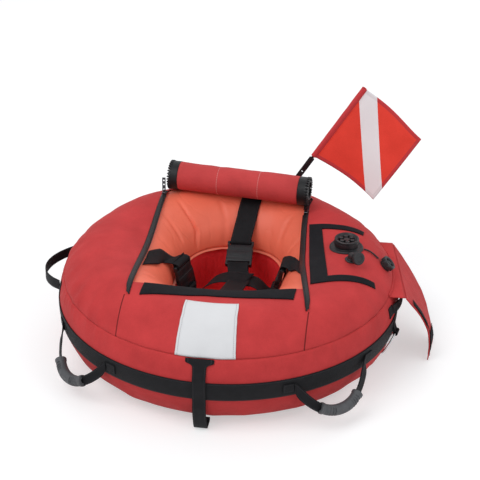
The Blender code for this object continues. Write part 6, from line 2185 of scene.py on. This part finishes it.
@dataclass
class InflationValve:
    """The inflation valve with its flange, and the cap that lies beside it on a tether."""

    spot: Pair = (0.272, 0.033)
    flange_radius: float = 0.04
    flange_thickness: float = 0.0028
    neck_radius: float = 0.0215
    bore_radius: float = 0.0185
    body_radius: float = 0.0285
    seat_height: float = 0.2712
    rim_height: float = 0.2885
    foot_height: float = 0.25
    hub_top: float = 0.2755
    lip_radius: float = 0.015
    seal_top: float = 0.256
    knurls: int = 36
    petals: int = 6
    petal_turn: float = 0.26
    spring_heights: Pair = (0.2762, 0.2818)
    spring_radius: float = 0.0042
    spring_wire: float = 0.0004
    spring_turns: int = 3
    petal_radius: float = 0.0054
    petal_height: float = 0.0075
    petal_reach: float = 0.0141
    cap_place: Pair = (0.364, 0.025)
    cap_radius: float = 0.019
    cap_height: float = 0.012
    cap_lift: float = -0.0004
    cap_lobes: int = 8
    plug_radius: float = 0.015
    plug_height: float = 0.006
    tether_radius: float = 0.0019
    tether_lift: float = 0.0032
    tether_places: tuple[Pair, ...] = ((0.3126, 0.032), (0.324, 0.034), (0.335, 0.031),
                                       (0.347, 0.026))

    def build(self) -> None:
        """Make the flange, the body, the cap and the tether."""
        self.flange()
        self.body()
        self.cap()
        self.tether()
        self.spring()
        dress("valve_plunger", Finishes.PLASTIC)

    def spring(self) -> None:
        """The spring under the plunger's button."""
        low, high = self.spring_heights
        steps = 24 * self.spring_turns
        path = [Vector((*self.spot, mix(low, high, i / steps)))
                + polar(self.spring_radius, TAU * i / 24, 0) for i in range(steps + 1)]
        shape = swept(path, [self.spring_wire] * len(path), 10)
        piece = publish("valve_spring_wire", shape, Finishes.STEEL, "", ["valve_spring"], crease=50)
        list(self.spot)
        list(self.spot)
        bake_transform(piece)

    def flange(self) -> None:
        """The welded flange with its neck."""
        foot = FORM.top_height + LAY
        head = foot + self.flange_thickness
        seal = self.seal_top + 0.0003
        bore, neck, lip, edge = self.bore_radius, self.neck_radius, self.lip_radius, self.flange_radius
        profile = [(bore, self.seat_height), (neck, self.seat_height), (neck, head),
                   (edge * 0.62, head), (edge * 0.64, head + 0.0006), (edge * 0.7, head + 0.0006),
                   (edge * 0.72, head), (edge * 0.84, head - 0.0002), (edge * 0.86, head + 0.0004),
                   (edge * 0.91, head + 0.0004), (edge * 0.93, head - 0.0008), (edge, foot + 0.0012),
                   (edge, foot), (edge * 0.85, foot), (neck, foot), (neck, self.foot_height),
                   (bore, self.foot_height), (bore, seal), (lip, seal), (lip, seal + 0.002),
                   (bore, seal + 0.002)]
        bench = Bench().turned(profile, Matrix.Identity(4), 96)
        for vert in bench.shape.verts:
            if hypot(vert.co.x, vert.co.y) > self.neck_radius + 0.0003:
                x, y = vert.co.x + self.spot[0], vert.co.y + self.spot[1]
                vert.co.z += FORM.section(FORM.angle_at_radius(hypot(x, y)))[1] - FORM.top_height
        bmesh.ops.translate(bench.shape, vec=(*self.spot, 0), verts=bench.shape.verts)
        publish("valve_flange_disc", bench.shape, Finishes.RUBBER, nodes=["valve_flange"], crease=30)

    def body(self) -> None:
        """The body's knurled rim, with petals that lead down to a hub."""
        low = self.seat_height + 0.0003
        place = shift(*self.spot, 0)
        top = self.rim_height
        bore, rim = self.bore_radius, self.body_radius
        bench = Bench().turned([(bore, low), (rim - 0.001, low), (rim, low + 0.001),
                                (rim, top - 0.0052), (rim - 0.0012, top - 0.0046),
                                (rim - 0.0012, top - 0.0036), (rim, top - 0.003),
                                (rim, top - 0.0012), (rim - 0.0012, top), (rim - 0.0042, top),
                                (rim - 0.0052, top - 0.0016), (bore + 0.0006, top - 0.004),
                                (bore, top - 0.006)], place, 96)
        for spin in turns(self.knurls):
            bench.block((0.0016, 0.0022, 0.008),
                        place @ spin @ shift(self.body_radius - 0.0001, 0, low + 0.0062),
                        0.0005, 1)
        middle = place @ shift(0, 0, self.hub_top - 0.0018)
        bench.turned([(0.0027, -0.0017), (0.0062, -0.0017), (0.0062, 0.0012), (0.0056, 0.0018),
                      (0.0027, 0.0018)], middle, 32)
        reach = self.bore_radius - 0.0045
        for spin in turns(self.petals, self.petal_turn):
            bench.block((reach, 0.0024, 0.002),
                        middle @ spin @ shift(0.005 + reach / 2, 0, 0), 0.0005, 1)
        for spin in turns(self.petals, self.petal_turn, 0.5):
            petal = shift(self.petal_reach, 0, top - 0.0012 - self.petal_height / 2)
            bench.rod(self.petal_radius, self.petal_height, place @ spin @ petal, 24, 0.002)
        publish("valve_body_ring", bench.shape, Finishes.PLASTIC, nodes=["valve_body"], crease=35)

    def cap(self) -> None:
        """The cap: a lobed rim round a hollow crown, on a plug."""
        base = facing(FORM.raised(*self.cap_place, self.cap_lift), FORM.normal(*self.cap_place))
        bench = Bench()
        top = self.plug_height + self.cap_height
        skirt = self.cap_radius - 0.0012
        bench.turned([(0, self.plug_height), (skirt - 0.001, self.plug_height),
                      (skirt, self.plug_height + 0.001), (skirt, top - 0.002), (skirt - 0.0016, top),
                      (skirt - 0.0048, top), (skirt - 0.006, top - 0.0012),
                      (skirt - 0.0068, top - 0.0052), (0.006, top - 0.0052),
                      (0.0052, top - 0.0022), (0.0044, top - 0.0018), (0, top - 0.0018)], base, 72)
        for spin in turns(self.cap_lobes):
            lobe = shift(skirt - 0.0022, 0, self.plug_height + self.cap_height / 2 - 0.0004)
            bench.rod(0.0036, self.cap_height - 0.0022, base @ spin @ lobe, 16, 0.0008)
        bench.turned([(0, 0), (self.plug_radius - 0.001, 0), (self.plug_radius, 0.001),
                      (self.plug_radius, self.plug_height + 0.0012), (0, self.plug_height + 0.0012)],
                     base, 48)
        publish("valve_cap_cover", bench.shape, Finishes.PLASTIC, "valve_cap", ["valve_cap"], crease=35)

    def tether(self) -> None:
        """The limp tether from the valve's flange to its cap."""
        guide = [FORM.raised(x, y, self.tether_lift) for x, y in self.tether_places]
        path = [smooth_point(guide, i / 36) for i in range(37)]
        length = length_of(path)
        shape = swept(path, [self.tether_radius] * len(path), 16)
        piece = publish("cap_tether_cord", shape, Finishes.PLASTIC, nodes=["cap_tether"], crease=50)
        tuple(path[0])
        [tuple(p) for p in path]


@dataclass
class MouthValve:
    """The mouth valve: a base on the cover, a bent tube with a tab, and its cap."""

    spot: Pair = (0.29, -0.03)
    base_radius: float = 0.0145
    tube_radius: float = 0.0085
    rise: float = 0.01
    reach: float = 0.032
    slope: Triple = (0.59, -0.745, 0.26)
    cap_radius: float = 0.0145
    cap_wall: float = 0.0025
    cap_depth: float = 0.006
    cap_knurls: int = 24
    lift: float = 0.0015

    @property
    def base(self) -> Matrix:
        """The valve's frame, upright on the cover."""
        return facing(FORM.raised(*self.spot, self.lift), FORM.normal(*self.spot))

    def build(self) -> None:
        """Make the tube and its cap."""
        base = self.base
        along = Vector(self.slope).normalized()
        corner = base @ Vector((0, 0, self.rise))
        end = corner + along * self.reach
        guide = [base @ Vector((0, 0, 0.0012)), corner, corner + along * self.tube_radius,
                 end - along * 0.0015]
        path = [smooth_point(guide, i / 30) for i in range(31)]
        radii = [self.tube_radius + 0.0012 * bell(i - 1, 2.5) for i in range(len(path))]
        bench = Bench(shape=swept(path, radii, 32))
        bench.turned([(0.0055, 0.0), (self.base_radius, 0.0), (self.base_radius, 0.001),
                      (self.base_radius - 0.0012, 0.0024), (0.0055, 0.0024)], base, 48)
        bench.rod(0.0055, 0.018, base @ shift(0, 0, -0.0078), 24)
        for share in (0.42, 0.52):
            bench.turned([(self.tube_radius - 0.001, -0.0008), (self.tube_radius + 0.0009, -0.0008),
                          (self.tube_radius + 0.0009, 0.0008), (self.tube_radius - 0.001, 0.0008)],
                         facing(corner + along * self.reach * share, along), 40)
        publish("mouth_valve_elbow", bench.shape, Finishes.RUBBER, nodes=["mouth_valve"], crease=40)
        cap = Bench()
        place = facing(end, along)
        wall, depth, radius = self.cap_wall, self.cap_depth, self.cap_radius
        inside = self.tube_radius + 0.0008
        cap.turned([(0, wall - 0.0012), (0.0075, wall - 0.0012), (0.0082, wall),
                    (radius - 0.0014, wall), (radius, wall - 0.0012), (radius, -depth + 0.001),
                    (radius - 0.001, -depth), (inside, -depth), (inside, 0.0003), (0, 0.0003)],
                   place, 64)
        for spin in turns(self.cap_knurls):
            cap.block((0.0012, 0.0014, depth),
                      place @ spin @ shift(radius - 0.0001, 0, -depth / 2 + 0.0006), 0.0004, 1)
        publish("mouth_cap_cover", cap.shape, Finishes.RUBBER, "mouth_cap", ["mouth_cap"], crease=35)


# Flag


@dataclass
class FlagMast:
    """The socket on the cover, the pole in it, and the flag on its rod."""

    foot: Triple = (0.0935, 0.325, 0.256)
    lean: float = radians(31.4)
    pole_width: float = 0.0135
    pole_thickness: float = 0.005
    pole_length: float = 0.104
    pole_start: float = 0.007
    rod_radius: float = 0.0036
    rod_plug: float = 0.016
    snap_place: float = 0.058
    snap_radius: float = 0.002
    sleeve_length: float = 0.226
    sleeve_radius: float = 0.0068
    sleeve_rise: float = 0.006
    sleeve_end: float = 0.005
    fly: float = 0.168
    draw: Pair = (0.06, 0.025)
    sag: float = 0.024
    curl: float = 0.01
    waves: Pair = (0.6, 0.9)
    socket_length: float = 0.034
    socket_wall: float = 0.0024
    pad_radius: float = 0.03

    @property
    def along(self) -> Vector:
        """The direction up the pole."""
        return Vector((sin(self.lean), 0, cos(self.lean)))

    @property
    def across(self) -> Vector:
        """The direction from the pole to the flag's fly."""
        return Vector((cos(self.lean), 0, -sin(self.lean)))

    @property
    def base(self) -> Matrix:
        """The pole's frame, with Z up it."""
        return frame_at(self.foot, self.across, (0, 1, 0))

    def build(self) -> None:
        """Make the socket, the pole and the flag."""
        self.socket()
        self.pole()
        self.sail()

    def socket(self) -> None:
        """The sewn pad with its moulded boss and the tower that holds the pole."""
        x0, y0 = self.foot[:2]

        def pad(u: float, v: float) -> Vector:
            sx, sy = 2 * u - 1, 2 * v - 1
            x = sx * sqrt(max(0.0, 1 - sy * sy / 2)) * 0.75 + sx * 0.25
            y = sy * sqrt(max(0.0, 1 - sx * sx / 2)) * 0.75 + sy * 0.25
            return FORM.above(x0 + x * self.pad_radius, y0 + y * self.pad_radius, LAY)
        size = (2 * self.pad_radius, 2 * self.pad_radius)
        shape = faced(laid(pad, (20, 20), size), upwards)
        sewn("socket_pad", shape, size, 0.0022, nodes=["flag_socket"])
        boss = Bench()
        boss.turned([(0, 0.0018), (0.015, 0.0018), (0.015, 0.003), (0.013, 0.005),
                     (0.0122, 0.01), (0.0112, 0.0112), (0, 0.0112)],
                    facing(FORM.raised(x0, y0, LAY), FORM.normal(x0, y0)), 56)
        wall = self.socket_wall
        wide = self.pole_width + 2 * (wall + 0.0004)
        deep = self.pole_thickness + 2 * (wall + 0.0004)
        length = self.socket_length - 0.008
        for side in (-1, 1):
            boss.block((wide, wall, length),
                       self.base @ shift(0, side * (deep - wall) / 2, 0.008 + length / 2), 0.0008)
            boss.block((wall, deep, length),
                       self.base @ shift(side * (wide - wall) / 2, 0, 0.008 + length / 2), 0.0008)
        boss.block((wide + 0.0014, deep + 0.0014, 0.0026), self.base @ shift(0, 0, 0.01), 0.0008)
        publish("socket_tower", boss.shape, Finishes.PLASTIC, crease=35)

    def pole(self) -> None:
        """The flat pole with its snap hole, and the rod that the flag hangs on."""
        bench = Bench(self.base)
        low, high = self.pole_start, self.pole_length
        hole = self.snap_place
        half = 0.0045
        thickness = self.pole_thickness
        for start, end in ((low, hole - half), (hole + half, high)):
            bench.block((self.pole_width, thickness, end - start),
                        shift(0, 0, (start + end) / 2), 0.0012, 3)
        side = (self.pole_width - 2 * self.snap_radius) / 2
        for way in (-1, 1):
            bench.block((side, thickness, 2 * half + 0.003),
                        shift(way * (self.pole_width - side) / 2, 0, hole), 0.0011, 2)
        for way in (-1, 1):
            rise = half - self.snap_radius
            bench.block((self.pole_width * 0.6, thickness * 0.98, rise),
                        shift(0, 0, hole + way * (self.snap_radius + rise / 2)), 0.0004, 1)
            bench.block((0.0012, thickness + 0.0008, high - hole - 0.02),
                        shift(way * (self.pole_width / 2 - 0.0022), 0,
                                            (high + hole) / 2 + 0.003), 0.0003, 1)
        top = self.pole_length + self.sleeve_rise + self.sleeve_length - self.sleeve_end
        start = self.pole_length - self.rod_plug
        bench.rod(self.rod_radius, top - start, shift(0, 0, (top + start) / 2), 32, 0.0008)
        publish("pole_and_rod", bench.shape, Finishes.PLASTIC, "pole", ["flag_pole"], crease=35)

    def sail(self) -> None:
        """The flag's cloth and its sleeve."""
        start = self.pole_length + self.sleeve_rise
        foot = Vector(self.foot) + self.along * (start + 0.0003)
        inset = self.sleeve_radius - 0.0014
        length = self.sleeve_length - 0.0006
        normal = Vector((0, 1, 0))

        def cloth(u: float, v: float) -> Vector:
            wave = TAU * u * mix(*self.waves, v)
            ripple = 0.0014 * wobble(u * 2.2, v * 1.4, 0.6, 1.7) * min(1.0, u * 5)
            height = v + u * (self.draw[0] * (1 - v) - self.draw[1] * v)
            spot = foot + self.along * length * height + self.across * (inset + self.fly * u)
            return spot + Vector((0, self.curl * sin(wave) * u + ripple, -self.sag * u * u))
        shape = laid(cloth, (56, 68), (1.0, 1.0))
        sail = publish("flag_sail", shape, Finishes.FLAG, "flag", ["flag"], wall=0.0009,
                       side=Side.BOTH, crease=70)

        def sleeve(u: float, v: float) -> Vector:
            turn = TAU * u
            pull = self.sleeve_radius * (0.93 + 0.06 * wobble(u, v * 9, 0.2, 1.0))
            tail = 0.0016 * max(0.0, cos(turn)) ** 6
            spot = foot + self.along * length * v
            return (spot + self.across * (pull * cos(turn) + tail)
                    + normal * pull * 0.9 * sin(turn))
        tube = laid(sleeve, (28, 60), (-0.12, 1.0))
        bmesh.ops.remove_doubles(tube, verts=tube.verts, dist=1e-6)

        def outwards(spot: Vector) -> Vector:
            off = spot - Vector(self.foot)
            return off - self.along * off.dot(self.along)
        faced(tube, outwards)
        publish("flag_sleeve", tube, Finishes.FLAG, "flag", wall=0.0009, side=Side.IN, crease=70)


# Studio


@dataclass
class Studio:
    """The floor, the light and the camera."""

    camera_at: Triple = (0.5646, -3.05724, 1.98422)
    target: Triple = (0.02476, 0.00437, 0.27092)
    lens: float = 113.8
    roll: float = 0.0132
    floor_half: float = 30.0
    glow: float = 0.46
    sky: tuple[float, ...] = (0.95, 0.97, 1.0, 1.0)
    sky_strength: float = 0.62

    def build(self) -> None:
        """Set up all of it."""
        self.floor()
        self.world()
        self.lamp("key_light", (-1.6, -2.0, 3.4), 3.0, 62.0)
        self.lamp("fill_light", (2.8, -1.2, 2.2), 3.4, 20.0)
        self.lamp("rear_light", (0.4, 2.8, 2.8), 3.0, 20.0)
        self.camera()
        bpy.context.scene.view_settings.view_transform = "Standard"

    def floor(self) -> None:
        """A wide pale floor that shows white, with the float's shadow on it."""
        shape = bmesh.new()
        bmesh.ops.create_grid(shape, x_segments=1, y_segments=1, size=self.floor_half)
        mesh = bpy.data.meshes.new("pale_floor")
        shape.to_mesh(mesh)
        shape.free()
        floor = bpy.data.objects.new("pale_floor", mesh)
        bpy.context.scene.collection.objects.link(floor)
        sheet = NodeSheet("pale_floor_finish")
        sheet.put(Base_Color=(0.64, 0.64, 0.64), Roughness=0.9, Specular_IOR_Level=0.0)
        camera, glossy, clear = sheet.rays("Is Camera Ray", "Is Glossy Ray", "Is Transmission Ray")
        seen = (camera + glossy + clear).math("MINIMUM", 1.0)
        sheet.put(Emission_Color=sheet.blend(seen, (0.0, 0.0, 0.0), (self.glow,) * 3),
                  Emission_Strength=1.0)
        mesh.materials.append(sheet.material)

    def world(self) -> None:
        """Plain soft light all round, with a white backdrop."""
        sheet = WorldSheet("soft_world")
        camera, clear = sheet.rays("Is Camera Ray", "Is Transmission Ray")
        lights = ((self.sky, self.sky_strength), ((1.0,) * 4, 1.0))
        plain, white = (sheet.signal("ShaderNodeBackground", {}, {"Color": colour, "Strength": power})
                        for colour, power in lights)
        choice = sheet.signal("ShaderNodeMixShader", {},
                              {0: camera.math("MAXIMUM", clear), 1: plain, 2: white})
        sheet.node("ShaderNodeOutputWorld", {}, {0: choice})

    def lamp(self, name: str, at: Triple, size: float, power: float) -> None:
        """A large soft lamp that looks at the float."""
        data = bpy.data.lights.new(name, "AREA")
        data.shape = "DISK"
        data.size = size
        data.energy = power
        lamp = bpy.data.objects.new(name, data)
        lamp.location = at
        lamp.rotation_euler = (Vector((0, 0, 0.15)) - Vector(at)).to_track_quat("-Z", "Y").to_euler()
        bpy.context.scene.collection.objects.link(lamp)

    def camera(self) -> None:
        """The photograph's viewpoint."""
        data = bpy.data.cameras.new("camera")
        data.lens = self.lens
        data.sensor_width = 36.0
        camera = bpy.data.objects.new("camera", data)
        way = Vector(self.target) - Vector(self.camera_at)
        turn = way.to_track_quat("-Z", "Y").to_matrix() @ Matrix.Rotation(self.roll, 3, "Z")
        camera.matrix_world = Matrix.Translation(self.camera_at) @ turn.to_4x4()
        bpy.context.scene.collection.objects.link(camera)
        bpy.context.scene.camera = camera


def main() -> None:
    """Build the float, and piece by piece."""
    logging.basicConfig(level=logging.INFO, format="%(name)s: %(message)s")
    Studio().build()
    for group in (Cover(), AirTube(), LaidStrips(), RolledLid(), InnerStraps(), FrontStrap(),
                  GripHandles(), SideLoops(), RingTab(), ValveFlap(), InflationValve(),
                  MouthValve(), FlagMast()):
        LOG.info("building %s", type(group).__name__)
        group.build()


if __name__ == "__main__":
    main()
